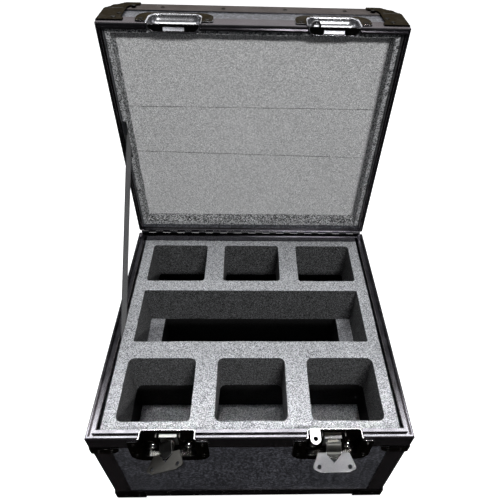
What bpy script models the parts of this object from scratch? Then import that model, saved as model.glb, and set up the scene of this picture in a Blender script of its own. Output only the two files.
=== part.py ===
"""Battery flight case: latched plywood box with a hinged lid, edged in aluminium and lined with foam.

Metres, +Z up. The origin is the centre of the bottom panel's underside. The front faces -Y, the hinge
runs along X at the back, and the lid stands open at a right angle, held by its webbing stay.
"""
import math

import bmesh
import bpy
from mathutils import Matrix, Vector

# Case
CASE_WIDTH = 0.450
CASE_DEPTH = 0.402
RIM_HEIGHT = 0.238
LID_HEIGHT = 0.0886
LID_OPEN_ANGLE = 90.0
PLY = 0.0068
FIT = 0.0003
CUT_OVERRUN = 0.004

# Edge angles and corner braces
EDGE_WALL = 0.0015
EDGE_LEG = 0.028
EDGE_ROUND = 0.0028
EDGE_STEP = 0.0001
BRACE_WALL = 0.0012
BOTTOM_CORNER_LEG = 0.050
BOTTOM_CORNER_RISE = 0.024
CORNER_ROUND = 0.0021
RIM_BRACE_LEG = 0.042
RIM_BRACE_RISE = 0.015
LID_CORNER_LEG = 0.051
LID_CORNER_WAIST = 0.034
LID_CORNER_FOOT = 0.038
LID_CORNER_WAIST_DROP = 0.027
LID_CORNER_DROP = 0.078

# Closure profiles: the base holds the groove and the lid holds the tongue
RIM_LEG = 0.0317
RIM_BEVEL = 0.0013
GROOVE_START = 0.0032
GROOVE_WIDTH = 0.0045
GROOVE_DEPTH = 0.0050
PROFILE_WEB = 0.0015
RIM_LIP_WALL = 0.0032
RIM_LIP_DROP = 0.010
LID_LEG = 0.0265
TONGUE_SIDE_PLAY = 0.0007
TONGUE_TAPER = 0.0005
TONGUE_TIP_PLAY = 0.0008

# Hinge
HINGE_OFFSET = 0.0023
HINGE_BARREL_RADIUS = 0.0019
HINGE_BORE_RADIUS = 0.0012
HINGE_PIN_RADIUS = 0.0010
HINGE_LEAF_WALL = 0.0012
HINGE_LEAF_WIDTH = 0.0105
HINGE_END_SETBACK = 0.0045
HINGE_KNUCKLES = 31
HINGE_KNUCKLE_PLAY = 0.0003

# Latches, mounted in dishes pressed through the front
LATCH_SIDE_SETBACK = 0.110
DISH_WALL = 0.0012
DISH_FLANGE_WIDTH = 0.112
DISH_FLANGE_DROP = 0.0736
DISH_FLANGE_TOP_STEP = 0.008
DISH_FLANGE_ROUND = 0.019
DISH_PAN_WIDTH = 0.074
DISH_PAN_DROP = 0.060
DISH_PAN_DEPTH = 0.0139
DISH_PAN_ROUND = 0.009
KEEPER_FLANGE_RISE = 0.0440
KEEPER_PAN_RISE = 0.0375
KEEPER_EAR_DROP = 0.009
KEEPER_PLATE_DEPTH = 0.0115
KEEPER_PLATE_WALL = 0.0014
KEEPER_SLOT_WIDTH = 0.030
LATCH_AXIS_DROP = 0.0237
LATCH_PLATE_WALL = 0.0015
LATCH_PLATE_SIDE_PLAY = 0.002
LATCH_PLATE_TOP_DROP = 0.033
LATCH_PLATE_BOTTOM_DROP = 0.0594
LATCH_PLATE_LIP = 0.0032
LATCH_PLATE_ROUND = 0.007
LATCH_GUIDE_WIDTH = 0.034
LATCH_GUIDE_DROP = 0.0074
LATCH_GUIDE_DEPTH = 0.0062
CLAW_WIDTH = 0.024
CLAW_WALL = 0.0015
CLAW_LIP_DEPTH = 0.0040
CLAW_LIP_WALL = 0.0020
CLAW_TAIL = 0.030
CLAW_PLAY = 0.0006
SPINDLE_RADIUS = 0.0062
SPINDLE_DISC = 0.0026
SPINDLE_SHAFT_RADIUS = 0.0032
SPINDLE_BLOCK_WIDTH = 0.0140
SPINDLE_BLOCK_HEIGHT = 0.0095
FOLD_AXIS_DEPTH = 0.0030
FOLD_PIN_RADIUS = 0.0014
FOLD_PIN_PLAY = 0.0002
FOLD_PIN_HEAD = 0.0005
GRIP_WALL = 0.0020
GRIP_EAR_WIDTH = 0.0032
GRIP_EAR_RISE = 0.0032
GRIP_ROOT = 0.0115
GRIP_ROOT_WIDTH = 0.0446
GRIP_WIDEST = 0.0290
GRIP_WIDTH = 0.0588
GRIP_LENGTH = 0.0356
GRIP_FOOT_WIDTH = 0.0466
GRIP_ROUND = 0.0042
GRIP_NOTCH = 0.0243
GRIP_NOTCH_SHOULDER = 0.0170
GRIP_HOLE_SPACING = 0.0424
GRIP_HOLE_RADIUS = 0.0029
LEFT_LATCH_TURN = -30.0
LEFT_CLAW_LIFT = 0.007
LEFT_GRIP_SWING = 92.0
RIGHT_GRIP_SWING = 70.0

# Padlock tabs beside the right latch
TAB_LATCH_SETBACK = 0.0270
TAB_WIDTH = 0.0142
TAB_REACH = 0.0070
TAB_WALL = 0.0020
TAB_HOLE_RADIUS = 0.0034
TAB_HOLE_SETBACK = 0.0072
TAB_FOOT = 0.0100

# Sprung carrying handles, one in each side
HANDLE_RAISE = 0.00685
HANDLE_FLANGE_LENGTH = 0.152
HANDLE_FLANGE_HEIGHT = 0.112
HANDLE_FLANGE_ROUND = 0.012
HANDLE_PAN_LENGTH = 0.122
HANDLE_PAN_HEIGHT = 0.084
HANDLE_PAN_ROUND = 0.008
HANDLE_PAN_DEPTH = 0.0133
BAIL_LENGTH = 0.104
BAIL_HEIGHT = 0.056
BAIL_ROUND = 0.010
BAIL_RADIUS = 0.0031
BAIL_SINK = 0.0063
BAIL_RISE = 0.024
HANDLE_GRIP_RADIUS = 0.0049
HANDLE_GRIP_LENGTH = 0.080
HANDLE_GRIP_RING = 0.0036
HANDLE_GRIP_RING_RISE = 0.0005
SADDLE_SPACING = 0.066
SADDLE_LENGTH = 0.012
SADDLE_HEIGHT = 0.0125
BAIL_PLAY = 0.0003

# Foam insert in the base
FOAM_DROP = 0.0105
FOAM_SIDE_GAP = 0.0021
FOAM_SHEET = 0.087
FOAM_PAD = 0.045
FOAM_FRONT_BAR = 0.0148
FOAM_SECOND_BAR = 0.0305
FOAM_THIRD_BAR = 0.0230
FOAM_BACK_BAR = 0.0138
POCKET_SIDE_BAR = 0.0188
POCKET_DIVIDER = 0.0345
SLOT_SIDE_BAR = 0.0198
FRONT_POCKET_SHARE = 0.33786
SLOT_SHARE = 0.35654
FRONT_POCKET_ROUND = 0.009
BACK_POCKET_ROUND = 0.005
SLOT_ROUND = 0.0015
BAR_SETBACK = 0.007
LEDGE_WIDTH = 0.0260

# Foam lining in the lid
LINING = 0.008
LINING_RECESS = 0.0096
LID_PAD_RECESS = 0.0338
LID_SEAM_FRONT = 0.1460
LID_SEAM_BACK_LEFT = 0.2350
LID_SEAM_BACK_RIGHT = 0.2450
LID_SEAM_GAP = 0.0006

# Webbing stay between base and lid, on the left
STAY_WIDTH = 0.030
STAY_WALL = 0.0014
STAY_REACH = 0.210
STAY_LID_RISE = 0.199
STAY_BASE_TUCK = 0.036
STAY_LID_TUCK = 0.028
STAY_RIVET_INSET = 0.010
STAY_RIVET_RADIUS = 0.006

# Facets
ROUND_STEPS = 4
SMALL_SIDES = 12
SHAFT_SIDES = 24
BARREL_SIDES = 14
ROUND_PROFILE = 0.5

# Places worked out from the sizes above
HALF_WIDTH = CASE_WIDTH / 2
HALF_DEPTH = CASE_DEPTH / 2
SKIN = EDGE_WALL + FIT
PANEL_X = HALF_WIDTH - SKIN
PANEL_Y = HALF_DEPTH - SKIN
INNER_X = PANEL_X - PLY
INNER_Y = PANEL_Y - PLY
WALL_FOOT = PLY + FIT
WALL_TOP = RIM_HEIGHT - GROOVE_DEPTH - PROFILE_WEB - FIT
RIM_LEG_FOOT = RIM_HEIGHT - RIM_LEG
LIP_START = SKIN + PLY + FIT
LIP_X = HALF_WIDTH - LIP_START - RIM_LIP_WALL
HINGE_POINT = Vector((0, HALF_DEPTH + HINGE_OFFSET, RIM_HEIGHT))
LATCH_CENTRE = HALF_WIDTH - LATCH_SIDE_SETBACK
TAB_CENTRE = LATCH_CENTRE - TAB_LATCH_SETBACK
HANDLE_HEIGHT = (EDGE_LEG + RIM_LEG_FOOT) / 2 + HANDLE_RAISE
DISH_FACE = HALF_DEPTH + FIT + DISH_WALL
DISH_FLOOR = DISH_FACE - DISH_PAN_DEPTH + DISH_WALL
PAN_CUT_HALF = DISH_PAN_WIDTH / 2 + DISH_WALL + FIT
FOAM_X = LIP_X - FOAM_SIDE_GAP
FOAM_Y = DISH_FACE - DISH_PAN_DEPTH - FIT
FOAM_TOP = RIM_HEIGHT - FOAM_DROP
FOAM_BARS = FOAM_FRONT_BAR + FOAM_SECOND_BAR + FOAM_THIRD_BAR + FOAM_BACK_BAR
POCKETS_LENGTH = 2 * FOAM_Y - FOAM_BARS
FRONT_POCKET_LENGTH = POCKETS_LENGTH * FRONT_POCKET_SHARE
SLOT_LENGTH = POCKETS_LENGTH * SLOT_SHARE
BACK_POCKET_LENGTH = POCKETS_LENGTH - FRONT_POCKET_LENGTH - SLOT_LENGTH
FRONT_POCKET_NEAR = HALF_DEPTH - FOAM_Y + FOAM_FRONT_BAR
SLOT_NEAR = FRONT_POCKET_NEAR + FRONT_POCKET_LENGTH + FOAM_SECOND_BAR
BACK_POCKET_NEAR = SLOT_NEAR + SLOT_LENGTH + FOAM_THIRD_BAR
POCKET_WIDTH = 2 * (FOAM_X - POCKET_SIDE_BAR - POCKET_DIVIDER) / 3
POCKET_SPACING = POCKET_WIDTH + POCKET_DIVIDER
SLOT_WIDTH = 2 * (FOAM_X - SLOT_SIDE_BAR)
SHEET_FOOT = FOAM_TOP - FOAM_SHEET
PAD_FOOT = PLY + FIT
PAD_TOP = PAD_FOOT + FOAM_PAD
BRACE_X = HALF_WIDTH + FIT
BRACE_Y = HALF_DEPTH + FIT
BOTTOM_SKIN = EDGE_WALL + FIT
LID_PANEL_TOP = RIM_HEIGHT + LID_HEIGHT - SKIN
LID_CEILING = LID_PANEL_TOP - PLY
LID_WALL_FOOT = RIM_HEIGHT + FIT + PROFILE_WEB + FIT
LID_LAND_WIDTH = SKIN + PLY
STAY_X = -LIP_X + FIT + STAY_WALL / 2


def clear_scene():
    for obj in list(bpy.data.objects):
        bpy.data.objects.remove(obj, do_unlink=True)


def new_collection(name):
    collection = bpy.data.collections.new(name)
    bpy.context.scene.collection.children.link(collection)
    return collection


clear_scene()
CASE = new_collection("battery_flight_case")
CUTTERS = new_collection("cutters")


def finish_material(name, colour, roughness, metallic):
    material = bpy.data.materials.new(name)
    material.use_nodes = True
    shader = material.node_tree.nodes["Principled BSDF"]
    shader.inputs["Base Color"].default_value = (*colour, 1)
    shader.inputs["Roughness"].default_value = roughness
    shader.inputs["Metallic"].default_value = metallic
    return material


LAMINATE = finish_material("black_laminate", (0.035, 0.036, 0.042), 0.55, 0.0)
BLACK_EDGE = finish_material("black_aluminium", (0.020, 0.020, 0.021), 0.32, 0.6)
BLACK_STEEL = finish_material("black_steel", (0.016, 0.016, 0.017), 0.28, 0.7)
BRIGHT_STEEL = finish_material("bright_steel", (0.62, 0.62, 0.61), 0.30, 1.0)
LIGHT_FOAM = finish_material("light_foam", (0.46, 0.47, 0.48), 0.92, 0.0)
DARK_FOAM = finish_material("dark_foam", (0.20, 0.205, 0.21), 0.94, 0.0)
WEBBING = finish_material("webbing", (0.055, 0.056, 0.060), 0.85, 0.0)


def mesh_object(name, mesh, matrix, collection=CASE):
    """Object that holds a mesh, stands at a matrix and belongs to a collection."""
    obj = bpy.data.objects.new(name, mesh)
    collection.objects.link(obj)
    obj.matrix_world = matrix
    return obj


def axes(origin, along_u, along_v):
    """Matrix whose local X, Y and Z are u, v and their cross product."""
    u_axis = Vector(along_u).normalized()
    v_axis = Vector(along_v).normalized()
    w_axis = u_axis.cross(v_axis)
    matrix = Matrix((u_axis, v_axis, w_axis)).transposed().to_4x4()
    matrix.translation = Vector(origin)
    return matrix


def round_corner(centre, radius, start, end, steps=ROUND_STEPS):
    """Points of an arc between two angles in degrees."""
    points = []
    for step in range(steps + 1):
        angle = math.radians(start + (end - start) * step / steps)
        points.append((centre[0] + radius * math.cos(angle), centre[1] + radius * math.sin(angle)))
    return points


def round_box(low, high, radius):
    """Outline of a rectangle with four rounded corners."""
    left, bottom = low[0] + radius, low[1] + radius
    right, top = high[0] - radius, high[1] - radius
    return (round_corner((left, bottom), radius, 180, 270) + round_corner((right, bottom), radius, 270, 360)
            + round_corner((right, top), radius, 0, 90) + round_corner((left, top), radius, 90, 180))


def circle(centre, radius, sides=SMALL_SIDES):
    return [(centre[0] + radius * math.cos(math.tau * step / sides),
             centre[1] + radius * math.sin(math.tau * step / sides)) for step in range(sides)]


def weld(mesh):
    """Join points that lie together, drop faces without area and turn all faces out."""
    shape = bmesh.new()
    shape.from_mesh(mesh)
    bmesh.ops.remove_doubles(shape, verts=shape.verts, dist=FIT / 100)
    bmesh.ops.dissolve_degenerate(shape, edges=shape.edges, dist=FIT / 100)
    bmesh.ops.recalc_face_normals(shape, faces=shape.faces)
    shape.to_mesh(mesh)
    shape.free()
    return mesh


def plate(name, outlines, thickness, matrix, material=None, collection=CASE):
    """Flat outline with its holes, thickened evenly about its plane, as a welded mesh."""
    curve = bpy.data.curves.new(name, "CURVE")
    curve.dimensions = "2D"
    curve.fill_mode = "BOTH"
    curve.extrude = thickness / 2
    for outline in outlines:
        spline = curve.splines.new("POLY")
        spline.points.add(len(outline) - 1)
        for point, place in zip(spline.points, outline):
            point.co = (place[0], place[1], 0, 1)
        spline.use_cyclic_u = True
    source = bpy.data.objects.new(name + "_outline", curve)
    bpy.context.scene.collection.objects.link(source)
    bpy.context.view_layer.update()
    mesh = bpy.data.meshes.new_from_object(source.evaluated_get(bpy.context.evaluated_depsgraph_get()))
    bpy.data.objects.remove(source, do_unlink=True)
    bpy.data.curves.remove(curve)
    weld(mesh)
    mesh.name = name
    if material:
        mesh.materials.clear()
        mesh.materials.append(material)
    return mesh_object(name, mesh, matrix, collection)


def block(name, low, high, material=None, collection=CASE):
    """Box between two corners, with its origin at its middle."""
    size = Vector(high) - Vector(low)
    mesh = bpy.data.meshes.new(name)
    shape = bmesh.new()
    bmesh.ops.create_cube(shape, size=1, matrix=Matrix.Diagonal((*size, 1)))
    shape.to_mesh(mesh)
    shape.free()
    if material:
        mesh.materials.append(material)
    return mesh_object(name, mesh, Matrix.Translation((Vector(low) + Vector(high)) / 2), collection)


def raise_field(obj, direction, margin):
    """Let the upper or lower face stand a little proud inside a margin, clear of the edge fittings."""
    shape = bmesh.new()
    shape.from_mesh(obj.data)
    faces = [face for face in shape.faces if face.normal.z * direction > ROUND_PROFILE]
    bmesh.ops.inset_region(shape, faces=faces, thickness=margin, depth=EDGE_STEP,
                           use_even_offset=True)
    shape.to_mesh(obj.data)
    shape.free()


def turned(name, profile, sides, matrix, material=None, collection=CASE):
    """Solid turned about local Z from a closed profile of radius and height, down its outer side."""
    mesh = bpy.data.meshes.new(name)
    shape = bmesh.new()
    verts = [shape.verts.new((radius, 0, height)) for radius, height in profile]
    ring = profile[0][0] > 0 and profile[-1][0] > 0
    for first, second in zip(verts, verts[1:] + (verts[:1] if ring else [])):
        shape.edges.new((first, second))
    shape.to_mesh(mesh)
    shape.free()
    if material:
        mesh.materials.append(material)
    obj = mesh_object(name, mesh, matrix, collection)
    screw = obj.modifiers.new("turn", "SCREW")
    screw.steps = screw.render_steps = sides
    screw.use_merge_vertices = True
    screw.merge_threshold = FIT / 100
    return obj


def settle(obj):
    """Replace an object's mesh by its modified shape, so that it can be joined or cut again."""
    bpy.context.view_layer.update()
    graph = bpy.context.evaluated_depsgraph_get()
    mesh = bpy.data.meshes.new_from_object(obj.evaluated_get(graph))
    obj.modifiers.clear()
    obj.data = weld(mesh)
    return obj


def combine(target, others, operation):
    """Boolean of an object with others, one after the other; the others are used up."""
    for other in others:
        step = target.modifiers.new(operation.lower(), "BOOLEAN")
        step.operation = operation
        step.object = other
        step.solver = "EXACT"
        settle(target)
        bpy.data.objects.remove(other, do_unlink=True)
    return target


def carve(target, *cutters):
    return combine(target, cutters, "DIFFERENCE")


def fuse(target, *others):
    return combine(target, others, "UNION")


CORNERS = {
    "front_right": (1, -1, 0),
    "back_right": (1, 1, 90),
    "back_left": (-1, 1, 180),
    "front_left": (-1, -1, 270),
}


def corner_matrix(corner):
    """Local frame of an upright edge: its faces look along local +X and -Y."""
    side_x, side_y, angle = CORNERS[corner]
    place = Matrix.Translation((side_x * HALF_WIDTH, side_y * HALF_DEPTH, 0))
    return place @ Matrix.Rotation(math.radians(angle), 4, "Z")


def at_corners(name, pattern):
    """Copies of one piece, alike about its diagonal, at the four upright edges."""
    mesh = pattern.data
    bpy.data.objects.remove(pattern, do_unlink=True)
    return [mesh_object(f"{name}_{corner}", mesh, corner_matrix(corner)) for corner in CORNERS]


def smooth(obj, limit=35):
    obj.data.shade_smooth()
    obj.data.set_sharp_from_angle(angle=math.radians(limit))
    return obj


SIDES = {
    "front": ((0, -1), (0, 1, 0), HALF_DEPTH, HALF_WIDTH),
    "back": ((0, 1), (0, -1, 0), HALF_DEPTH, HALF_WIDTH),
    "left": ((-1, 0), (1, 0, 0), HALF_WIDTH, HALF_DEPTH),
    "right": ((1, 0), (-1, 0, 0), HALF_WIDTH, HALF_DEPTH),
}


def side_matrix(side, height):
    """Local X runs inward from a side's outer face, local Y up, local Z along the side."""
    outward, inward, distance, _ = SIDES[side]
    return axes((outward[0] * distance, outward[1] * distance, height), inward, (0, 0, 1))


def length_of_profile(side, height, profile, start, end, mitre_start, mitre_end):
    """Profile run along a side; an end is cut square and closed, or mitred and left open."""
    obj = plate("length", [profile], end - start, side_matrix(side, height), collection=CUTTERS)
    shape = bmesh.new()
    shape.from_mesh(obj.data)
    for direction, mitred in ((-1, mitre_start), (1, mitre_end)):
        if mitred:
            caps = [face for face in shape.faces if all(vert.co.z * direction > 0 for vert in face.verts)]
            bmesh.ops.delete(shape, geom=caps, context="FACES")
    for vert in shape.verts:
        if vert.co.z > 0:
            vert.co.z -= vert.co.x if mitre_end else 0
        else:
            vert.co.z += vert.co.x if mitre_start else 0
        vert.co.z += (start + end) / 2
    shape.to_mesh(obj.data)
    shape.free()
    return obj


def sewn(name, lengths, material):
    """Mitred lengths sewn at their mitres into one piece."""
    joined = bmesh.new()
    for length in lengths:
        part = length.data.copy()
        part.transform(length.matrix_world)
        joined.from_mesh(part)
        bpy.data.meshes.remove(part)
    bmesh.ops.remove_doubles(joined, verts=joined.verts, dist=FIT / 100)
    mesh = bpy.data.meshes.new(name)
    joined.to_mesh(mesh)
    joined.free()
    mesh.materials.append(material)
    for length in lengths:
        bpy.data.objects.remove(length, do_unlink=True)
    return mesh_object(name, mesh, Matrix.Identity(4))


def whole_side(side, height, profile):
    half = SIDES[side][3]
    return length_of_profile(side, height, profile, -half, half, True, True)


def whole_ring(name, height, profile, material):
    return sewn(name, [whole_side(side, height, profile) for side in SIDES], material)


def rims(name, profile):
    """Closure profile in two pieces: the short one stands between the two dishes."""
    near, far = LATCH_CENTRE - PAN_CUT_HALF, LATCH_CENTRE + PAN_CUT_HALF
    lengths = [whole_side(side, RIM_HEIGHT, profile) for side in ("left", "back", "right")]
    lengths.append(length_of_profile("front", RIM_HEIGHT, profile, -HALF_WIDTH, -far, True, False))
    lengths.append(length_of_profile("front", RIM_HEIGHT, profile, far, HALF_WIDTH, False, True))
    outer = sewn(name, lengths, BLACK_EDGE)
    short = [length_of_profile("front", RIM_HEIGHT, profile, -near, near, False, False)]
    return outer, sewn(f"{name}_middle", short, BLACK_EDGE)


def groove_profile():
    """Female closure profile: depth inward from the outer face, height from the rim down."""
    web = -GROOVE_DEPTH - PROFILE_WEB
    groove_end = GROOVE_START + GROOVE_WIDTH
    inner = LIP_START + RIM_LIP_WALL
    return [(0, -RIM_LEG), (EDGE_WALL, -RIM_LEG), (EDGE_WALL, web), (LIP_START, web),
            (LIP_START, -RIM_LIP_DROP), (inner, -RIM_LIP_DROP), (inner, 0), (groove_end, 0),
            (groove_end, -GROOVE_DEPTH), (GROOVE_START, -GROOVE_DEPTH), (GROOVE_START, 0),
            (RIM_BEVEL, 0), (0, -RIM_BEVEL)]


def tongue_profile():
    """Male closure profile: depth inward from the outer face, height from the mating plane up."""
    root_start = GROOVE_START + TONGUE_SIDE_PLAY
    root_end = GROOVE_START + GROOVE_WIDTH - TONGUE_SIDE_PLAY
    tip = TONGUE_TIP_PLAY - GROOVE_DEPTH
    return [(0, LID_LEG), (EDGE_WALL, LID_LEG), (EDGE_WALL, FIT + PROFILE_WEB),
            (LID_LAND_WIDTH, FIT + PROFILE_WEB), (LID_LAND_WIDTH, FIT), (root_end, FIT),
            (root_end - TONGUE_TAPER, tip), (root_start + TONGUE_TAPER, tip), (root_start, FIT),
            (RIM_BEVEL, FIT), (0, FIT + RIM_BEVEL)]


def angle_profile(upward):
    """Equal angle with a rounded outer corner; its flat leg lies under or over the box."""
    outer = round_corner((EDGE_ROUND, -upward * (BOTTOM_SKIN - EDGE_ROUND)), EDGE_ROUND,
                         180, 180 + upward * 90)
    low = -upward * BOTTOM_SKIN
    outline = [(0, upward * EDGE_LEG)] + outer
    outline += [(EDGE_LEG, low), (EDGE_LEG, low + upward * EDGE_WALL),
                (EDGE_WALL, low + upward * EDGE_WALL), (EDGE_WALL, upward * EDGE_LEG)]
    return outline


def upright_outline():
    """Plan of the angle on an upright edge, in the corner's own frame."""
    outer, inner = EDGE_STEP, EDGE_WALL - EDGE_STEP
    rounded = round_corner((-outer - EDGE_ROUND, outer + EDGE_ROUND), EDGE_ROUND, 270, 360)
    return [(-EDGE_LEG, outer)] + rounded + [(-outer, EDGE_LEG), (-inner, EDGE_LEG), (-inner, inner),
                                             (-EDGE_LEG, inner)]


def edge_frame(name, level, direction, low, high):
    """Angles round the box's bottom or top, with the four upright ones joined to them."""
    frame = whole_ring(name, level, angle_profile(direction), BLACK_EDGE)
    pattern = plate("upright", [upright_outline()], high - low, Matrix.Identity(4), collection=CUTTERS)
    uprights = at_corners("upright", pattern)
    for upright in uprights:
        upright.matrix_world = Matrix.Translation((0, 0, (low + high) / 2)) @ upright.matrix_world
    return smooth(fuse(frame, *uprights))


def make_base_panels():
    bottom = block("base_bottom_panel", (-PANEL_X, -PANEL_Y, EDGE_STEP), (PANEL_X, PANEL_Y, PLY), LAMINATE)
    raise_field(bottom, -1, BOTTOM_CORNER_LEG)
    front = block("base_front_panel", (-PANEL_X, -PANEL_Y, WALL_FOOT), (PANEL_X, -INNER_Y, WALL_TOP),
                  LAMINATE)
    carve(front, *[pan_cutter(side) for side in (-1, 1)])
    block("base_back_panel", (-PANEL_X, INNER_Y, WALL_FOOT), (PANEL_X, PANEL_Y, WALL_TOP), LAMINATE)
    for name, side in (("left", -1), ("right", 1)):
        near, far = sorted((side * INNER_X, side * PANEL_X))
        panel = block(f"base_{name}_panel", (near, -INNER_Y + FIT, WALL_FOOT),
                      (far, INNER_Y - FIT, WALL_TOP), LAMINATE)
        carve(panel, handle_cutter(side))


def pan_cutter(side):
    """Hole through the front for a latch dish's pan, open at the top."""
    foot = RIM_HEIGHT - DISH_PAN_DROP - DISH_WALL - FIT
    outline = round_box((-PAN_CUT_HALF, foot), (PAN_CUT_HALF, RIM_HEIGHT + DISH_PAN_ROUND), DISH_PAN_ROUND)
    matrix = axes((side * LATCH_CENTRE, -HALF_DEPTH + PLY, 0), (1, 0, 0), (0, 0, 1))
    return plate("pan_cutter", [outline], 2 * (PLY + SKIN), matrix, collection=CUTTERS)


def keeper_cutter(side):
    """Hole through the lid's front for a keeper dish's pan, open towards the base."""
    top = RIM_HEIGHT + KEEPER_PAN_RISE + DISH_WALL + FIT
    outline = round_box((-PAN_CUT_HALF, RIM_HEIGHT - DISH_PAN_ROUND), (PAN_CUT_HALF, top), DISH_PAN_ROUND)
    matrix = axes((side * LATCH_CENTRE, -HALF_DEPTH + PLY, 0), (1, 0, 0), (0, 0, 1))
    return plate("keeper_cutter", [outline], 2 * (PLY + SKIN), matrix, collection=CUTTERS)


def handle_cutter(side):
    """Hole through a side panel for the handle dish's pan."""
    half_length = HANDLE_PAN_LENGTH / 2 + DISH_WALL + FIT
    half_height = HANDLE_PAN_HEIGHT / 2 + DISH_WALL + FIT
    outline = round_box((-half_length, -half_height), (half_length, half_height), HANDLE_PAN_ROUND)
    matrix = axes((side * (PANEL_X - PLY / 2), 0, HANDLE_HEIGHT), (0, 1, 0), (0, 0, 1))
    return plate("handle_cutter", [outline], 2 * PLY, matrix, collection=CUTTERS)


def make_base_edges():
    edge_frame("base_edge_frame", 0, 1, EDGE_LEG - CUT_OVERRUN, RIM_LEG_FOOT - FIT)
    rims("base_rim", groove_profile())


def corner_shell(legs, rise, low, direction, cutters):
    """Pressed three-way corner in the corner's own frame, cut to its outline."""
    span = Vector((legs, legs, rise))
    outer = FIT + BRACE_WALL
    centre = Vector((outer - legs / 2, legs / 2 - outer, low + direction * rise / 2))
    mesh = bpy.data.meshes.new("corner")
    shape = bmesh.new()
    bmesh.ops.create_cube(shape, size=1, matrix=Matrix.Diagonal((*span, 1)))
    open_faces = [face for face in shape.faces
                  if face.normal.x < -0.5 or face.normal.y > 0.5 or face.normal.z * direction > 0.5]
    bmesh.ops.delete(shape, geom=open_faces, context="FACES")
    folds = [edge for edge in shape.edges if len(edge.link_faces) == 2]
    bmesh.ops.bevel(shape, geom=folds, offset=CORNER_ROUND, segments=3, profile=ROUND_PROFILE,
                    affect="EDGES", clamp_overlap=True)
    shape.to_mesh(mesh)
    shape.free()
    mesh.materials.append(BLACK_STEEL)
    obj = mesh_object("corner", mesh, Matrix.Translation(centre))
    wall = obj.modifiers.new("wall", "SOLIDIFY")
    wall.thickness = BRACE_WALL
    wall.offset = -1
    settle(obj)
    carve(obj, *cutters)
    obj.data.transform(obj.matrix_world)
    return smooth(obj)


def face_cutter(outline, face):
    """Prism that trims one upright leg of a corner piece, from distances along the leg and heights."""
    outer = FIT + BRACE_WALL
    reach = 2 * (BRACE_WALL + FIT)
    middle = outer - BRACE_WALL / 2
    if face == "front":
        matrix = axes((outer, -middle, 0), (-1, 0, 0), (0, 0, 1))
    else:
        matrix = axes((middle, -outer, 0), (0, 1, 0), (0, 0, 1))
    return plate("trim", [outline], reach, matrix, collection=CUTTERS)


def flat_cutter(height, leg):
    """Triangle that trims a corner piece's level leg across its free corner."""
    outer = FIT + BRACE_WALL
    far = leg + CUT_OVERRUN
    outline = [(far, far), (far, leg - BOTTOM_CORNER_RISE), (leg - BOTTOM_CORNER_RISE, far)]
    matrix = axes((outer, -outer, height), (-1, 0, 0), (0, 1, 0))
    return plate("trim", [outline], 2 * (BRACE_WALL + FIT), matrix, collection=CUTTERS)


def make_base_corners():
    low = -BOTTOM_SKIN - FIT - BRACE_WALL
    top = low + BOTTOM_CORNER_RISE
    radius = BOTTOM_CORNER_RISE / 2
    far = BOTTOM_CORNER_LEG + CUT_OVERRUN
    end = round_corner((BOTTOM_CORNER_LEG - radius, top - radius), radius, 90, 0)
    outline = [(far, top + CUT_OVERRUN), (BOTTOM_CORNER_LEG - radius, top + CUT_OVERRUN)] + end
    outline += [(far, top - radius)]
    cutters = [face_cutter(outline, face) for face in ("front", "side")]
    cutters.append(flat_cutter(low + BRACE_WALL / 2, BOTTOM_CORNER_LEG))
    pattern = corner_shell(BOTTOM_CORNER_LEG, BOTTOM_CORNER_RISE, low, 1, cutters)
    at_corners("bottom_corner", pattern)


def make_rim_braces():
    """Two-way braces over the tops of the upright edges, just under the rim's leg."""
    top = RIM_LEG_FOOT - FIT
    low = top - RIM_BRACE_RISE
    outer = FIT + BRACE_WALL
    leg = RIM_BRACE_LEG - outer
    middle = (outer - CORNER_ROUND, CORNER_ROUND - outer)
    outline = [(-leg, -outer)] + round_corner(middle, CORNER_ROUND, 270, 360) + [(outer, leg), (FIT, leg)]
    outline += round_corner(middle, CORNER_ROUND - BRACE_WALL, 360, 270) + [(-leg, -FIT)]
    brace = plate("brace", [outline], RIM_BRACE_RISE, Matrix.Translation((0, 0, (low + top) / 2)),
                  BLACK_STEEL)
    radius = RIM_BRACE_RISE - EDGE_WALL
    far = RIM_BRACE_LEG + CUT_OVERRUN
    under = round_corner((RIM_BRACE_LEG - radius, low + radius), radius, 360, 270)
    trim = [(far, low - CUT_OVERRUN), (far, low + radius)] + under
    trim += [(RIM_BRACE_LEG - radius, low - CUT_OVERRUN)]
    carve(brace, face_cutter(trim, "front"), face_cutter(trim, "side"))
    brace.data.transform(brace.matrix_world)
    at_corners("rim_brace", smooth(brace))


def dish_shell(name, flange, pan, hollow, matrix_of):
    """Pressed dish: a flange plate with a pan behind it, both cut by the pan's hollow."""
    face = plate(name, [flange], DISH_WALL, matrix_of(DISH_FACE - DISH_WALL / 2), BLACK_STEEL)
    settle(face)
    depth = DISH_PAN_DEPTH
    body = plate("pan", [pan], depth, matrix_of(DISH_FACE - depth / 2), collection=CUTTERS)
    fuse(face, body)
    hollow_depth = DISH_PAN_DEPTH - DISH_WALL + CUT_OVERRUN
    space = plate("hollow", [hollow], hollow_depth,
                  matrix_of(DISH_FLOOR + hollow_depth / 2), collection=CUTTERS)
    return carve(face, space)


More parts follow.
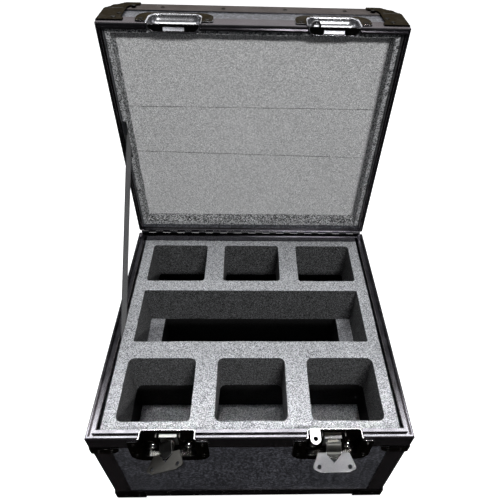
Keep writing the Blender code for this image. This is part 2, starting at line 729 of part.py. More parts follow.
def make_latch_dish(name, side):
    """Base dish: lobed flange on the front face, pan open at the rim."""
    half = DISH_FLANGE_WIDTH / 2
    foot = RIM_HEIGHT - DISH_FLANGE_DROP
    top = RIM_HEIGHT - DISH_FLANGE_TOP_STEP
    small = DISH_FLANGE_TOP_STEP / 2
    large = DISH_FLANGE_ROUND
    flange = (round_corner((-half + large, foot + large), large, 180, 270)
              + round_corner((half - large, foot + large), large, 270, 360)
              + round_corner((half - small, top - small), small, 0, 90)
              + round_corner((-half + small, top - small), small, 90, 180))
    pan_half = DISH_PAN_WIDTH / 2 + DISH_WALL
    pan_foot = RIM_HEIGHT - DISH_PAN_DROP - DISH_WALL
    pan = (round_corner((-pan_half + DISH_PAN_ROUND, pan_foot + DISH_PAN_ROUND), DISH_PAN_ROUND, 180, 270)
           + round_corner((pan_half - DISH_PAN_ROUND, pan_foot + DISH_PAN_ROUND), DISH_PAN_ROUND, 270, 360)
           + [(pan_half, RIM_HEIGHT), (-pan_half, RIM_HEIGHT)])
    hollow = round_box((-DISH_PAN_WIDTH / 2, RIM_HEIGHT - DISH_PAN_DROP),
                       (DISH_PAN_WIDTH / 2, RIM_HEIGHT + 2 * DISH_PAN_ROUND), DISH_PAN_ROUND - DISH_WALL)

    def placed(depth):
        return axes((side * LATCH_CENTRE, -depth, 0), (1, 0, 0), (0, 0, 1))

    return smooth(dish_shell(name, flange, pan, hollow, placed))


def make_keeper_dish(name, side):
    """Lid dish with the slotted keeper across its mouth, in the closed lid's place."""
    half = DISH_FLANGE_WIDTH / 2
    foot = RIM_HEIGHT + KEEPER_EAR_DROP
    top = RIM_HEIGHT + KEEPER_FLANGE_RISE
    small = DISH_FLANGE_TOP_STEP / 2
    large = DISH_FLANGE_ROUND
    flange = (round_corner((-half + small, foot + small), small, 180, 270)
              + round_corner((half - small, foot + small), small, 270, 360)
              + round_corner((half - large, top - large), large, 0, 90)
              + round_corner((-half + large, top - large), large, 90, 180))
    pan_half = DISH_PAN_WIDTH / 2 + DISH_WALL
    pan_foot, pan_top = RIM_HEIGHT + FIT, RIM_HEIGHT + KEEPER_PAN_RISE + DISH_WALL
    pan = ([(-pan_half, pan_foot), (pan_half, pan_foot)]
           + round_corner((pan_half - DISH_PAN_ROUND, pan_top - DISH_PAN_ROUND), DISH_PAN_ROUND, 0, 90)
           + round_corner((-pan_half + DISH_PAN_ROUND, pan_top - DISH_PAN_ROUND), DISH_PAN_ROUND, 90, 180))
    hollow = round_box((-DISH_PAN_WIDTH / 2, RIM_HEIGHT - 2 * DISH_PAN_ROUND),
                       (DISH_PAN_WIDTH / 2, pan_top - DISH_WALL), DISH_PAN_ROUND - DISH_WALL)

    def placed(depth):
        return axes((side * LATCH_CENTRE, -depth, 0), (1, 0, 0), (0, 0, 1))

    dish = dish_shell(name, flange, pan, hollow, placed)
    keeper_back = DISH_FLOOR - DISH_WALL / 2
    keeper_front = keeper_back + KEEPER_PLATE_DEPTH
    edge = DISH_PAN_WIDTH / 2 + DISH_WALL / 2
    slot_back, slot_front = claw_back() - CLAW_PLAY, claw_back() + CLAW_LIP_DEPTH + CLAW_PLAY
    middle = side * LATCH_CENTRE
    outer = [(-edge, -keeper_front), (edge, -keeper_front), (edge, -keeper_back), (-edge, -keeper_back)]
    hole = [(-KEEPER_SLOT_WIDTH / 2, -slot_front), (KEEPER_SLOT_WIDTH / 2, -slot_front),
            (KEEPER_SLOT_WIDTH / 2, -slot_back), (-KEEPER_SLOT_WIDTH / 2, -slot_back)]
    level = pan_foot + KEEPER_PLATE_WALL / 2
    keeper = plate("keeper", [outer, hole], KEEPER_PLATE_WALL, Matrix.Translation((middle, 0, level)),
                   collection=CUTTERS)
    return smooth(fuse(dish, keeper))


def claw_back():
    """Depth of the claw's rear face, counted outward from the case's middle."""
    return DISH_FLOOR + FIT + LATCH_PLATE_WALL + FIT


def spindle_back():
    return claw_back() + CLAW_WALL + FIT


def fold_axis_y():
    return -(DISH_FACE - FOLD_AXIS_DEPTH)


def latch_point(side):
    """Point where a latch's turning axis meets its grip's fold axis."""
    return Vector((side * LATCH_CENTRE, fold_axis_y(), RIM_HEIGHT - LATCH_AXIS_DROP))


def make_latch_plate(name, side):
    """Mounting plate with a guide for the claw and a bent lower lip."""
    back, front = DISH_FLOOR + FIT, DISH_FLOOR + FIT + LATCH_PLATE_WALL
    top, foot = RIM_HEIGHT - LATCH_PLATE_TOP_DROP, RIM_HEIGHT - LATCH_PLATE_BOTTOM_DROP
    guide_top = RIM_HEIGHT - LATCH_GUIDE_DROP
    half, guide = DISH_PAN_WIDTH / 2 - LATCH_PLATE_SIDE_PLAY, LATCH_GUIDE_WIDTH / 2
    rounding, flat = LATCH_PLATE_ROUND, half - LATCH_PLATE_ROUND
    outline = (round_corner((-flat, foot + rounding), rounding, 180, 270)
               + round_corner((flat, foot + rounding), rounding, 270, 360)
               + [(half, top), (guide, top), (guide, guide_top)]
               + [(-guide, guide_top), (-guide, top), (-half, top)])
    matrix = axes((side * LATCH_CENTRE, -(back + front) / 2, 0), (1, 0, 0), (0, 0, 1))
    base = plate(name, [outline], LATCH_PLATE_WALL, matrix, BRIGHT_STEEL)
    middle = side * LATCH_CENTRE
    cheeks = []
    for hand in (-1, 1):
        near, far = sorted((hand * (guide - EDGE_STEP), hand * (guide - LATCH_PLATE_WALL)))
        cheeks.append(block("cheek", (middle + near, -back - LATCH_GUIDE_DEPTH, top + EDGE_STEP),
                            (middle + far, -back - EDGE_STEP, guide_top - EDGE_STEP), collection=CUTTERS))
    lip = block("lip", (middle - flat, -front - LATCH_PLATE_LIP, foot + EDGE_STEP),
                (middle + flat, -back - EDGE_STEP, foot + LATCH_PLATE_WALL), collection=CUTTERS)
    return fuse(base, lip, *cheeks)


def make_claw(name, side, lift):
    """Sliding claw: a forked tail behind the spindle's disc with a bent lip at its top."""
    lip_foot = RIM_HEIGHT - LATCH_AXIS_DROP + SPINDLE_RADIUS + FIT + lift
    lip_top = lip_foot + CLAW_LIP_WALL
    back = claw_back()
    middle = side * LATCH_CENTRE
    half = CLAW_WIDTH / 2
    slot = SPINDLE_SHAFT_RADIUS + CLAW_PLAY
    tail_foot = lip_foot - CLAW_TAIL
    outline = [(-half, tail_foot), (-slot, tail_foot), (-slot, lip_foot - CLAW_LIP_WALL),
               (slot, lip_foot - CLAW_LIP_WALL), (slot, tail_foot), (half, tail_foot),
               (half, lip_top), (-half, lip_top)]
    matrix = axes((middle, -back - CLAW_WALL / 2, 0), (1, 0, 0), (0, 0, 1))
    tail = plate(name, [outline], CLAW_WALL, matrix, BRIGHT_STEEL)
    edge = half - EDGE_STEP
    lip = block("lip", (middle - edge, -back - CLAW_LIP_DEPTH, lip_foot),
                (middle + edge, -back - CLAW_WALL / 2, lip_top - EDGE_STEP), collection=CUTTERS)
    return fuse(tail, lip)


def make_spindle(name, side, turn_empty):
    """Cam disc on its shaft, with the block that carries the fold pin."""
    point = latch_point(side)
    disc_back = -spindle_back() - point.y
    disc_front = disc_back - SPINDLE_DISC
    shaft_back = -(DISH_FLOOR + FIT + LATCH_PLATE_WALL + FIT) - point.y
    block_front = -SPINDLE_BLOCK_HEIGHT / 2 + FOLD_PIN_RADIUS
    along_y = axes((0, 0, 0), (1, 0, 0), (0, 0, -1))
    disc = turned(name, [(0, disc_back), (SPINDLE_RADIUS, disc_back), (SPINDLE_RADIUS, disc_front),
                         (0, disc_front)], SHAFT_SIDES, along_y, BRIGHT_STEEL)
    settle(disc)
    shaft = turned("shaft", [(0, shaft_back), (SPINDLE_SHAFT_RADIUS, shaft_back),
                             (SPINDLE_SHAFT_RADIUS, disc_front), (0, disc_front)], SHAFT_SIDES, along_y,
                   collection=CUTTERS)
    settle(shaft)
    half_width, half_height = SPINDLE_BLOCK_WIDTH / 2, SPINDLE_BLOCK_HEIGHT / 2
    head = block("head", (-half_width, block_front, -half_height),
                 (half_width, disc_front + EDGE_STEP, half_height), collection=CUTTERS)
    bore = turned("bore", rod_profile(FOLD_PIN_RADIUS + FOLD_PIN_PLAY, half_width + CUT_OVERRUN),
                  SMALL_SIDES, along_x(), collection=CUTTERS)
    settle(bore)
    fuse(disc, shaft, head)
    carve(disc, bore)
    disc.parent = turn_empty
    return smooth(disc)


def rod_profile(radius, half_length):
    return [(0, half_length), (radius, half_length), (radius, -half_length), (0, -half_length)]


def along_x():
    return axes((0, 0, 0), (0, 1, 0), (0, 0, 1))


def make_fold_pin(name, turn_empty):
    half = SPINDLE_BLOCK_WIDTH / 2 + FIT + GRIP_EAR_WIDTH + FOLD_PIN_HEAD
    pin = turned(name, rod_profile(FOLD_PIN_RADIUS, half), SMALL_SIDES, along_x(), BRIGHT_STEEL)
    pin.parent = turn_empty
    return smooth(pin)


def grip_outline():
    """Butterfly grip, hanging down from the fold axis at the origin."""
    inner = SPINDLE_BLOCK_WIDTH / 2 + FIT
    outer = inner + GRIP_EAR_WIDTH
    corner = GRIP_ROUND
    right = [(inner, GRIP_EAR_RISE), (outer, GRIP_EAR_RISE), (outer, -GRIP_ROOT)]
    right += round_corner((GRIP_ROOT_WIDTH / 2 - corner / 2, -GRIP_ROOT - corner / 2), corner / 2, 90, 20)
    right += round_corner((GRIP_WIDTH / 2 - corner, -GRIP_WIDEST), corner, 20, -45)
    right += round_corner((GRIP_FOOT_WIDTH / 2 - corner, -GRIP_LENGTH + corner), corner, -45, -90)
    left = [(-x, y) for x, y in reversed(right)]
    notch = [(-inner, -GRIP_NOTCH_SHOULDER), (0, -GRIP_NOTCH), (inner, -GRIP_NOTCH_SHOULDER)]
    return right + left + notch


def make_latch_grip(name, fold_empty):
    """Flat butterfly grip with two holes, bored for the fold pin."""
    holes = [circle((hand * GRIP_HOLE_SPACING / 2, -GRIP_WIDEST), GRIP_HOLE_RADIUS) for hand in (-1, 1)]
    matrix = axes((0, 0, 0), (1, 0, 0), (0, 0, 1))
    grip = plate(name, [grip_outline()] + holes, GRIP_WALL, matrix, BRIGHT_STEEL)
    half = SPINDLE_BLOCK_WIDTH / 2 + FIT + GRIP_EAR_WIDTH
    barrel = turned("barrel", rod_profile(GRIP_EAR_RISE, half), SMALL_SIDES, along_x(), collection=CUTTERS)
    settle(barrel)
    gap_half = SPINDLE_BLOCK_WIDTH / 2 + FIT
    gap = block("gap", (-gap_half, -GRIP_ROOT / 2, -GRIP_ROOT / 2), (gap_half, GRIP_ROOT / 2, GRIP_ROOT / 2),
                collection=CUTTERS)
    bore = turned("bore", rod_profile(FOLD_PIN_RADIUS + FOLD_PIN_PLAY, half + CUT_OVERRUN), SMALL_SIDES,
                  along_x(), collection=CUTTERS)
    settle(bore)
    carve(barrel, gap)
    fuse(grip, barrel)
    carve(grip, bore)
    grip.parent = fold_empty
    return smooth(grip)


def empty(name, place, rotation=(0, 0, 0), parent=None):
    """Joint axis marker."""
    marker = bpy.data.objects.new(name, None)
    CUTTERS.objects.link(marker)
    marker.parent = parent
    marker.location = place
    marker.rotation_euler = [math.radians(angle) for angle in rotation]
    return marker


def make_latches():
    for name, side, turn, swing, lift in (("left", -1, LEFT_LATCH_TURN, LEFT_GRIP_SWING, LEFT_CLAW_LIFT),
                                          ("right", 1, 0, RIGHT_GRIP_SWING, 0)):
        make_latch_dish(f"latch_dish_{name}", side)
        make_latch_plate(f"latch_plate_{name}", side)
        make_claw(f"latch_claw_{name}", side, lift)
        turn_empty = empty(f"latch_turn_{name}", latch_point(side), (0, turn, 0))
        fold_empty = empty(f"latch_fold_{name}", (0, 0, 0), (-swing, 0, 0), turn_empty)
        make_spindle(f"latch_spindle_{name}", side, turn_empty)
        make_fold_pin(f"latch_fold_pin_{name}", turn_empty)
        make_latch_grip(f"latch_grip_{name}", fold_empty)


def tab_outline(foot):
    """Padlock tab in plan: square foot, round tip, one hole."""
    half = TAB_WIDTH / 2
    tip = TAB_REACH - half
    return [[(-half, -foot), (half, -foot)] + round_corner((0, tip), half, 0, 180, 2 * ROUND_STEPS),
            circle((0, TAB_REACH - TAB_HOLE_SETBACK), TAB_HOLE_RADIUS, 2 * SMALL_SIDES)]


def tab_matrix(level):
    """Local Y runs forward from the dish's face at the rim."""
    return axes((TAB_CENTRE, -DISH_FACE, level), (1, 0, 0), (0, -1, 0))


def make_base_tab():
    """Base tab with a leg that runs down the dish's floor, where it is riveted."""
    foot = DISH_FACE - DISH_FLOOR - FIT
    level = RIM_HEIGHT - FIT - TAB_WALL / 2
    tab = plate("padlock_tab_base", tab_outline(foot), TAB_WALL, tab_matrix(level), BRIGHT_STEEL)
    half = TAB_WIDTH / 2 - EDGE_STEP
    leg = block("leg", (TAB_CENTRE - half, -DISH_FLOOR - FIT - TAB_WALL, level - TAB_FOOT),
                (TAB_CENTRE + half, -DISH_FLOOR - FIT - EDGE_STEP, level), collection=CUTTERS)
    fuse(tab, leg)


def handle_frame(side):
    """Local X inward from the flange's face, local Y up, at the handle's middle."""
    face = PANEL_X + FIT + DISH_WALL
    return axes((side * face, 0, HANDLE_HEIGHT), (-side, 0, 0), (0, 0, 1))


def make_handle(name, side):
    """Recessed dish, sprung bail and rubber grip on one side."""
    frame = handle_frame(side)
    turn = Matrix.Rotation(math.radians(90), 4, "Y")

    def flat(depth):
        return frame @ Matrix.Translation((depth, 0, 0)) @ turn

    flange = round_box((-HANDLE_FLANGE_LENGTH / 2, -HANDLE_FLANGE_HEIGHT / 2),
                       (HANDLE_FLANGE_LENGTH / 2, HANDLE_FLANGE_HEIGHT / 2), HANDLE_FLANGE_ROUND)
    half_length, half_height = HANDLE_PAN_LENGTH / 2, HANDLE_PAN_HEIGHT / 2
    pan = round_box((-half_length - DISH_WALL, -half_height - DISH_WALL),
                    (half_length + DISH_WALL, half_height + DISH_WALL), HANDLE_PAN_ROUND)
    hollow = round_box((-half_length, -half_height), (half_length, half_height),
                       HANDLE_PAN_ROUND - DISH_WALL)
    dish = plate(f"handle_dish_{name}", [flange], DISH_WALL, flat(DISH_WALL / 2), BLACK_STEEL)
    body = plate("pan", [pan], HANDLE_PAN_DEPTH, flat(HANDLE_PAN_DEPTH / 2), collection=CUTTERS)
    floor = HANDLE_PAN_DEPTH - DISH_WALL
    space = plate("hollow", [hollow], floor + CUT_OVERRUN, flat((floor - CUT_OVERRUN) / 2),
                  collection=CUTTERS)
    fuse(dish, body)
    carve(dish, space)
    saddles = []
    for hand in (-1, 1):
        saddle = block("saddle", (BAIL_SINK - SADDLE_HEIGHT / 2 + FIT, BAIL_RISE - SADDLE_HEIGHT / 2,
                                  hand * SADDLE_SPACING / 2 - SADDLE_LENGTH / 2),
                       (floor + DISH_WALL / 2, BAIL_RISE + SADDLE_HEIGHT / 2,
                        hand * SADDLE_SPACING / 2 + SADDLE_LENGTH / 2), collection=CUTTERS)
        saddle.matrix_world = frame @ saddle.matrix_world
        saddles.append(saddle)
    fuse(dish, *saddles)
    bore = turned("bore", rod_profile(BAIL_RADIUS + BAIL_PLAY, SADDLE_SPACING / 2 + SADDLE_LENGTH),
                  SMALL_SIDES, frame @ Matrix.Translation((BAIL_SINK, BAIL_RISE, 0)), collection=CUTTERS)
    settle(bore)
    carve(dish, bore)
    smooth(dish)
    pivot = empty(f"handle_pivot_{name}", frame @ Vector((BAIL_SINK, BAIL_RISE, 0)))
    make_bail(f"handle_bail_{name}").parent = pivot


def make_bail(name):
    """Closed wire ring with a moulded sleeve: pivot bar at the origin, hand bar below it."""
    half = BAIL_LENGTH / 2
    ring = round_box((-half, -BAIL_HEIGHT), (half, 0), BAIL_ROUND)
    curve = bpy.data.curves.new(name, "CURVE")
    curve.dimensions = "3D"
    curve.bevel_depth = BAIL_RADIUS
    curve.bevel_resolution = 2
    spline = curve.splines.new("POLY")
    spline.points.add(len(ring) - 1)
    for point, place in zip(spline.points, ring):
        point.co = (0, place[0], place[1], 1)
    spline.use_cyclic_u = True
    wire = bpy.data.objects.new("wire", curve)
    CASE.objects.link(wire)
    bpy.context.view_layer.update()
    mesh = bpy.data.meshes.new_from_object(wire.evaluated_get(bpy.context.evaluated_depsgraph_get()))
    bpy.data.objects.remove(wire, do_unlink=True)
    mesh.materials.clear()
    mesh.materials.append(BLACK_STEEL)
    bail = mesh_object(name, mesh, Matrix.Identity(4))
    half = HANDLE_GRIP_LENGTH / 2
    ring = half - HANDLE_GRIP_RING
    raised = HANDLE_GRIP_RADIUS + HANDLE_GRIP_RING_RISE
    profile = [(0, half), (raised, half), (raised, ring), (HANDLE_GRIP_RADIUS, ring),
               (HANDLE_GRIP_RADIUS, -ring), (raised, -ring), (raised, -half), (0, -half)]
    lie_along_y = Matrix.Rotation(math.radians(-90), 4, "X")
    sleeve = turned("sleeve", profile, SMALL_SIDES, Matrix.Translation((0, 0, -BAIL_HEIGHT)) @ lie_along_y,
                    collection=CUTTERS)
    settle(sleeve)
    return smooth(fuse(bail, sleeve))


def make_hinge(lid_hinge):
    """Continuous hinge: two leaves with interleaved knuckles on one pin."""
    half = CASE_WIDTH / 2 - HINGE_END_SETBACK
    barrel_frame = Matrix.Translation(HINGE_POINT) @ along_x()
    for name, direction, first in (("hinge_base_leaf", -1, 1), ("hinge_lid_leaf", 1, 0)):
        root = RIM_HEIGHT + direction * HINGE_LEAF_WALL
        outline = [(-half, root), (-half, root + direction * HINGE_LEAF_WIDTH),
                   (half, root + direction * HINGE_LEAF_WIDTH), (half, root)]
        middle = HALF_DEPTH + FIT + HINGE_LEAF_WALL / 2
        leaf = plate(name, [outline], HINGE_LEAF_WALL, axes((0, middle, 0), (1, 0, 0), (0, 0, 1)),
                     BLACK_STEEL)
        barrel = turned("barrel", rod_profile(HINGE_BARREL_RADIUS, half + EDGE_STEP), BARREL_SIDES,
                        barrel_frame, collection=CUTTERS)
        fuse(leaf, settle(barrel))
        bore = turned("bore", rod_profile(HINGE_BORE_RADIUS, half + CUT_OVERRUN), BARREL_SIDES, barrel_frame,
                      collection=CUTTERS)
        carve(leaf, settle(bore), *knuckle_gaps(direction, first, half))
        smooth(leaf)
        if direction > 0:
            hang_on_lid(leaf, lid_hinge)
    pin = turned("hinge_pin", rod_profile(HINGE_PIN_RADIUS, half), BARREL_SIDES, barrel_frame, BRIGHT_STEEL)
    smooth(pin)


def knuckle_gaps(direction, first, half):
    """Boxes that clear every second knuckle for the other leaf's."""
    pitch = 2 * half / HINGE_KNUCKLES
    reach = HINGE_BARREL_RADIUS + HINGE_KNUCKLE_PLAY
    near, far = sorted((-direction * CUT_OVERRUN, direction * reach))
    gaps = []
    for knuckle in range(first, HINGE_KNUCKLES, 2):
        start = -half + knuckle * pitch - HINGE_KNUCKLE_PLAY / 2
        end = start + pitch + HINGE_KNUCKLE_PLAY
        if knuckle == 0:
            start -= CUT_OVERRUN
        if knuckle == HINGE_KNUCKLES - 1:
            end += CUT_OVERRUN
        gaps.append(block("gap", (start, HALF_DEPTH, RIM_HEIGHT + near),
                          (end, HINGE_POINT.y + CUT_OVERRUN, RIM_HEIGHT + far), collection=CUTTERS))
    return gaps


def hang_on_lid(obj, lid_hinge):
    """Carry a piece, made in the closed lid's place, over to the open lid."""
    bpy.context.view_layer.update()
    closed = obj.matrix_world.copy()
    obj.parent = lid_hinge
    obj.matrix_local = Matrix.Translation(-HINGE_POINT) @ closed
    return obj


def make_lid_panels(lid_hinge):
    top = block("lid_top_panel", (-PANEL_X, -PANEL_Y, LID_CEILING),
                (PANEL_X, PANEL_Y, LID_PANEL_TOP - EDGE_STEP), LAMINATE)
    raise_field(top, 1, LID_CORNER_LEG)
    wall_top = LID_CEILING - FIT
    front = block("lid_front_panel", (-PANEL_X, -PANEL_Y, LID_WALL_FOOT), (PANEL_X, -INNER_Y, wall_top),
                  LAMINATE)
    carve(front, *[keeper_cutter(side) for side in (-1, 1)])
    back = block("lid_back_panel", (-PANEL_X, INNER_Y, LID_WALL_FOOT), (PANEL_X, PANEL_Y, wall_top),
                 LAMINATE)
    pieces = [top, front, back]
    for name, side in (("left", -1), ("right", 1)):
        near, far = sorted((side * INNER_X, side * PANEL_X))
        pieces.append(block(f"lid_{name}_panel", (near, -INNER_Y + FIT, LID_WALL_FOOT),
                            (far, INNER_Y - FIT, wall_top), LAMINATE))
    for piece in pieces:
        hang_on_lid(piece, lid_hinge)


def make_lid_edges(lid_hinge):
    high = LID_PANEL_TOP - EDGE_LEG + CUT_OVERRUN
    frame = edge_frame("lid_edge_frame", LID_PANEL_TOP, -1, RIM_HEIGHT + LID_LEG + FIT, high)
    for piece in (frame, *rims("lid_rim", tongue_profile())):
        hang_on_lid(piece, lid_hinge)


def make_lid_corners(lid_hinge):
    """Deep curved corners that cover the lid's upright edges down to near the rim."""
    top = LID_PANEL_TOP + BOTTOM_SKIN + FIT + BRACE_WALL
    foot = top - LID_CORNER_DROP
    waist = top - LID_CORNER_WAIST_DROP
    far = LID_CORNER_LEG + CUT_OVERRUN
    step = LID_CORNER_LEG - LID_CORNER_WAIST
    toe = LID_CORNER_FOOT - LID_CORNER_WAIST
    outline = [(far, waist + step), (LID_CORNER_LEG, waist + step)]
    outline += round_corner((LID_CORNER_LEG, waist), step, 90, 180)
    outline += [(LID_CORNER_WAIST, foot + 3 * toe), (LID_CORNER_FOOT, foot + 2 * toe)]
    outline += [(LID_CORNER_FOOT, foot - CUT_OVERRUN), (far, foot - CUT_OVERRUN)]
    cutters = [face_cutter(outline, face) for face in ("front", "side")]
    cutters.append(flat_cutter(top - BRACE_WALL / 2, LID_CORNER_LEG))
    pattern = corner_shell(LID_CORNER_LEG, LID_CORNER_DROP, top, -1, cutters)
    for corner in at_corners("lid_corner", pattern):
        hang_on_lid(corner, lid_hinge)


def make_lid_fittings(lid_hinge):
    """Keeper dishes; the right one carries the lid's padlock tab."""
    for name, side in (("left", -1), ("right", 1)):
        dish = make_keeper_dish(f"keeper_dish_{name}", side)
        if side > 0:
            level = RIM_HEIGHT + FIT + TAB_WALL / 2
            foot = DISH_FACE - DISH_FLOOR + DISH_WALL / 2
            tab = plate("tab", tab_outline(foot), TAB_WALL, tab_matrix(level), collection=CUTTERS)
            fuse(dish, tab)
        hang_on_lid(dish, lid_hinge)


def pocket(left, near, width, length, radius):
    """Pocket outline from its left side and its distance behind the front face."""
    front = -HALF_DEPTH + near
    return round_box((left, front), (left + width, front + length), radius)


def make_base_foam():
    half = POCKET_WIDTH / 2
    outlines = [round_box((-FOAM_X, -FOAM_Y), (FOAM_X, FOAM_Y), SLOT_ROUND)]
    for column in (-1, 0, 1):
        left = column * POCKET_SPACING - half
        for near, length, rounding in ((FRONT_POCKET_NEAR, FRONT_POCKET_LENGTH, FRONT_POCKET_ROUND),
                                       (BACK_POCKET_NEAR, BACK_POCKET_LENGTH, BACK_POCKET_ROUND)):
            outlines.append(pocket(left, near, POCKET_WIDTH, length, rounding))
    outlines.append(pocket(-SLOT_WIDTH / 2, SLOT_NEAR, SLOT_WIDTH, SLOT_LENGTH, SLOT_ROUND))
    level = FOAM_TOP - FOAM_SHEET / 2
    sheet = plate("foam_top_sheet", outlines, FOAM_SHEET, Matrix.Translation((0, 0, level)), LIGHT_FOAM)
    smooth(sheet)
    make_middle_foam()
    block("foam_floor_pad", (-FOAM_X, -FOAM_Y, PAD_FOOT), (FOAM_X, FOAM_Y, PAD_TOP), LIGHT_FOAM)


def make_middle_foam():
    """Sheet between the top sheet and the floor pad, with three long openings set back all round."""
    low, high = PAD_TOP + FIT, SHEET_FOOT - FIT
    half = POCKET_SPACING + POCKET_WIDTH / 2 + BAR_SETBACK
    outlines = [round_box((-FOAM_X, -FOAM_Y), (FOAM_X, FOAM_Y), SLOT_ROUND)]
    for near, length in ((FRONT_POCKET_NEAR, FRONT_POCKET_LENGTH), (BACK_POCKET_NEAR, BACK_POCKET_LENGTH)):
        outlines.append(pocket(-half, near - BAR_SETBACK, 2 * half, length + 2 * BAR_SETBACK, SLOT_ROUND))
    width = SLOT_WIDTH - 2 * LEDGE_WIDTH
    outlines.append(pocket(-width / 2, SLOT_NEAR - BAR_SETBACK, width, SLOT_LENGTH + 2 * BAR_SETBACK,
                           SLOT_ROUND))
    matrix = Matrix.Translation((0, 0, (low + high) / 2))
    plate("foam_middle_sheet", outlines, high - low, matrix, DARK_FOAM)


def lid_depth(distance):
    """Closed lid's place along Y, from a distance behind the front face."""
    return -HALF_DEPTH + distance


def make_lid_foam(lid_hinge):
    """Edging strips round the walls and three pads against the lid's ceiling."""
    outer_x, outer_y = INNER_X - FIT, INNER_Y - FIT
    low, high = RIM_HEIGHT + LINING_RECESS, RIM_HEIGHT + LID_PAD_RECESS - FIT
    matrix = Matrix.Translation((0, 0, (low + high) / 2))
    clear = -(DISH_FACE - DISH_PAN_DEPTH) + FIT
    inner_y = outer_y - LINING
    front = [(-outer_x, -outer_y)]
    for side in (-1, 1):
        start, end = side * LATCH_CENTRE - PAN_CUT_HALF, side * LATCH_CENTRE + PAN_CUT_HALF
        front += [(start, -outer_y), (start, clear), (end, clear), (end, -outer_y)]
    front += [(outer_x, -outer_y), (outer_x, -inner_y), (-outer_x, -inner_y)]
    back = [(-outer_x, inner_y), (outer_x, inner_y), (outer_x, outer_y), (-outer_x, outer_y)]
    side_end = inner_y + LINING / 2
    inner_x = outer_x - LINING
    right = [(inner_x, -side_end), (outer_x, -side_end), (outer_x, side_end), (inner_x, side_end)]
    notch_start, notch_end = stay_notch()
    notch_x = STAY_X + STAY_WALL / 2 + FIT
    left = [(-outer_x, -side_end), (-inner_x, -side_end), (-inner_x, side_end), (-outer_x, side_end),
            (-outer_x, notch_end), (notch_x, notch_end), (notch_x, notch_start), (-outer_x, notch_start)]
    edging = plate("lid_foam_edging", [front], high - low, matrix, DARK_FOAM)
    fuse(edging, *[plate("strip", [outline], high - low, matrix, collection=CUTTERS)
                   for outline in (right, left, back)])
    hang_on_lid(edging, lid_hinge)
    pad_low, pad_high = RIM_HEIGHT + LID_PAD_RECESS, LID_CEILING - FIT
    pad_matrix = Matrix.Translation((0, 0, (pad_low + pad_high) / 2))
    seam = lid_depth(LID_SEAM_FRONT)
    back_left, back_right = lid_depth(LID_SEAM_BACK_LEFT), lid_depth(LID_SEAM_BACK_RIGHT)
    gap = LID_SEAM_GAP / 2
    start = clear
    pads = {
        "lid_foam_pad_front": [(-outer_x, start), (outer_x, start), (outer_x, seam - gap),
                               (-outer_x, seam - gap)],
        "lid_foam_pad_middle": [(-outer_x, seam + gap), (outer_x, seam + gap), (outer_x, back_right - gap),
                                (-outer_x, back_left - gap)],
        "lid_foam_pad_back": [(-outer_x, back_left + gap), (outer_x, back_right + gap), (outer_x, outer_y),
                              (-outer_x, outer_y)],
    }
    for name, outline in pads.items():
        hang_on_lid(plate(name, [outline], pad_high - pad_low, pad_matrix, LIGHT_FOAM), lid_hinge)


def stay_ends():
    """Where the stay crosses the base's rim and the open lid's rim, with the way it runs."""
    base = Vector((0, HALF_DEPTH - STAY_REACH, RIM_HEIGHT))
    lid = Vector((0, HINGE_POINT.y, RIM_HEIGHT + STAY_LID_RISE))
    return base, lid, (lid - base).normalized()


def stay_notch():
    """Stretch of the closed lid's left edging, along Y, that leaves room for the stay."""
    middle = HINGE_POINT.y - STAY_LID_RISE
    return middle - STAY_LID_TUCK - STAY_WIDTH / 2, middle + STAY_WIDTH


def make_stay(lid_hinge):
    """Flat webbing along the left wall, its ends tucked behind the foam, with a bush behind each end."""
    base, lid, along = stay_ends()
    start, end = base - along * STAY_BASE_TUCK, lid + along * STAY_LID_TUCK
    across = Vector((1, 0, 0)).cross(along)
    matrix = axes((STAY_X, *((start + end) / 2)[1:]), along, across)
    half_length, half_width = (end - start).length / 2, STAY_WIDTH / 2
    outline = round_box((-half_length, -half_width), (half_length, half_width), STAY_WIDTH / 4)
    plate("stay_strap", [outline], STAY_WALL, matrix, WEBBING)
    make_stay_bush("stay_bush_base", start + along * STAY_RIVET_INSET)
    bush = make_stay_bush("stay_bush_lid", end - along * STAY_RIVET_INSET)
    bpy.context.view_layer.update()
    open_place = bush.matrix_world.copy()
    bush.parent = lid_hinge
    bush.matrix_world = open_place


def make_stay_bush(name, place):
    """Short post between the wall and the stay."""
    wall, strap = -INNER_X + FIT, STAY_X - STAY_WALL / 2 - FIT
    matrix = Matrix.Translation(((wall + strap) / 2, place.y, place.z)) @ along_x()
    bush = turned(name, rod_profile(STAY_RIVET_RADIUS, (strap - wall) / 2), SMALL_SIDES, matrix,
                  BRIGHT_STEEL)
    return smooth(bush)


def main():
    lid_hinge = empty("lid_hinge", HINGE_POINT, (-LID_OPEN_ANGLE, 0, 0))
    bpy.context.view_layer.update()
    make_base_panels()
    make_base_edges()
    make_base_corners()
    make_rim_braces()
    make_latches()
    make_base_tab()
    for name, side in (("left", -1), ("right", 1)):
        make_handle(name, side)
    make_hinge(lid_hinge)
    make_lid_panels(lid_hinge)
    make_lid_edges(lid_hinge)
    make_lid_corners(lid_hinge)
    make_lid_fittings(lid_hinge)
    make_base_foam()
    make_lid_foam(lid_hinge)
    make_stay(lid_hinge)


main()
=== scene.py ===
import math

import bmesh
import bpy
import numpy as np
from mathutils import Matrix, Vector, noise


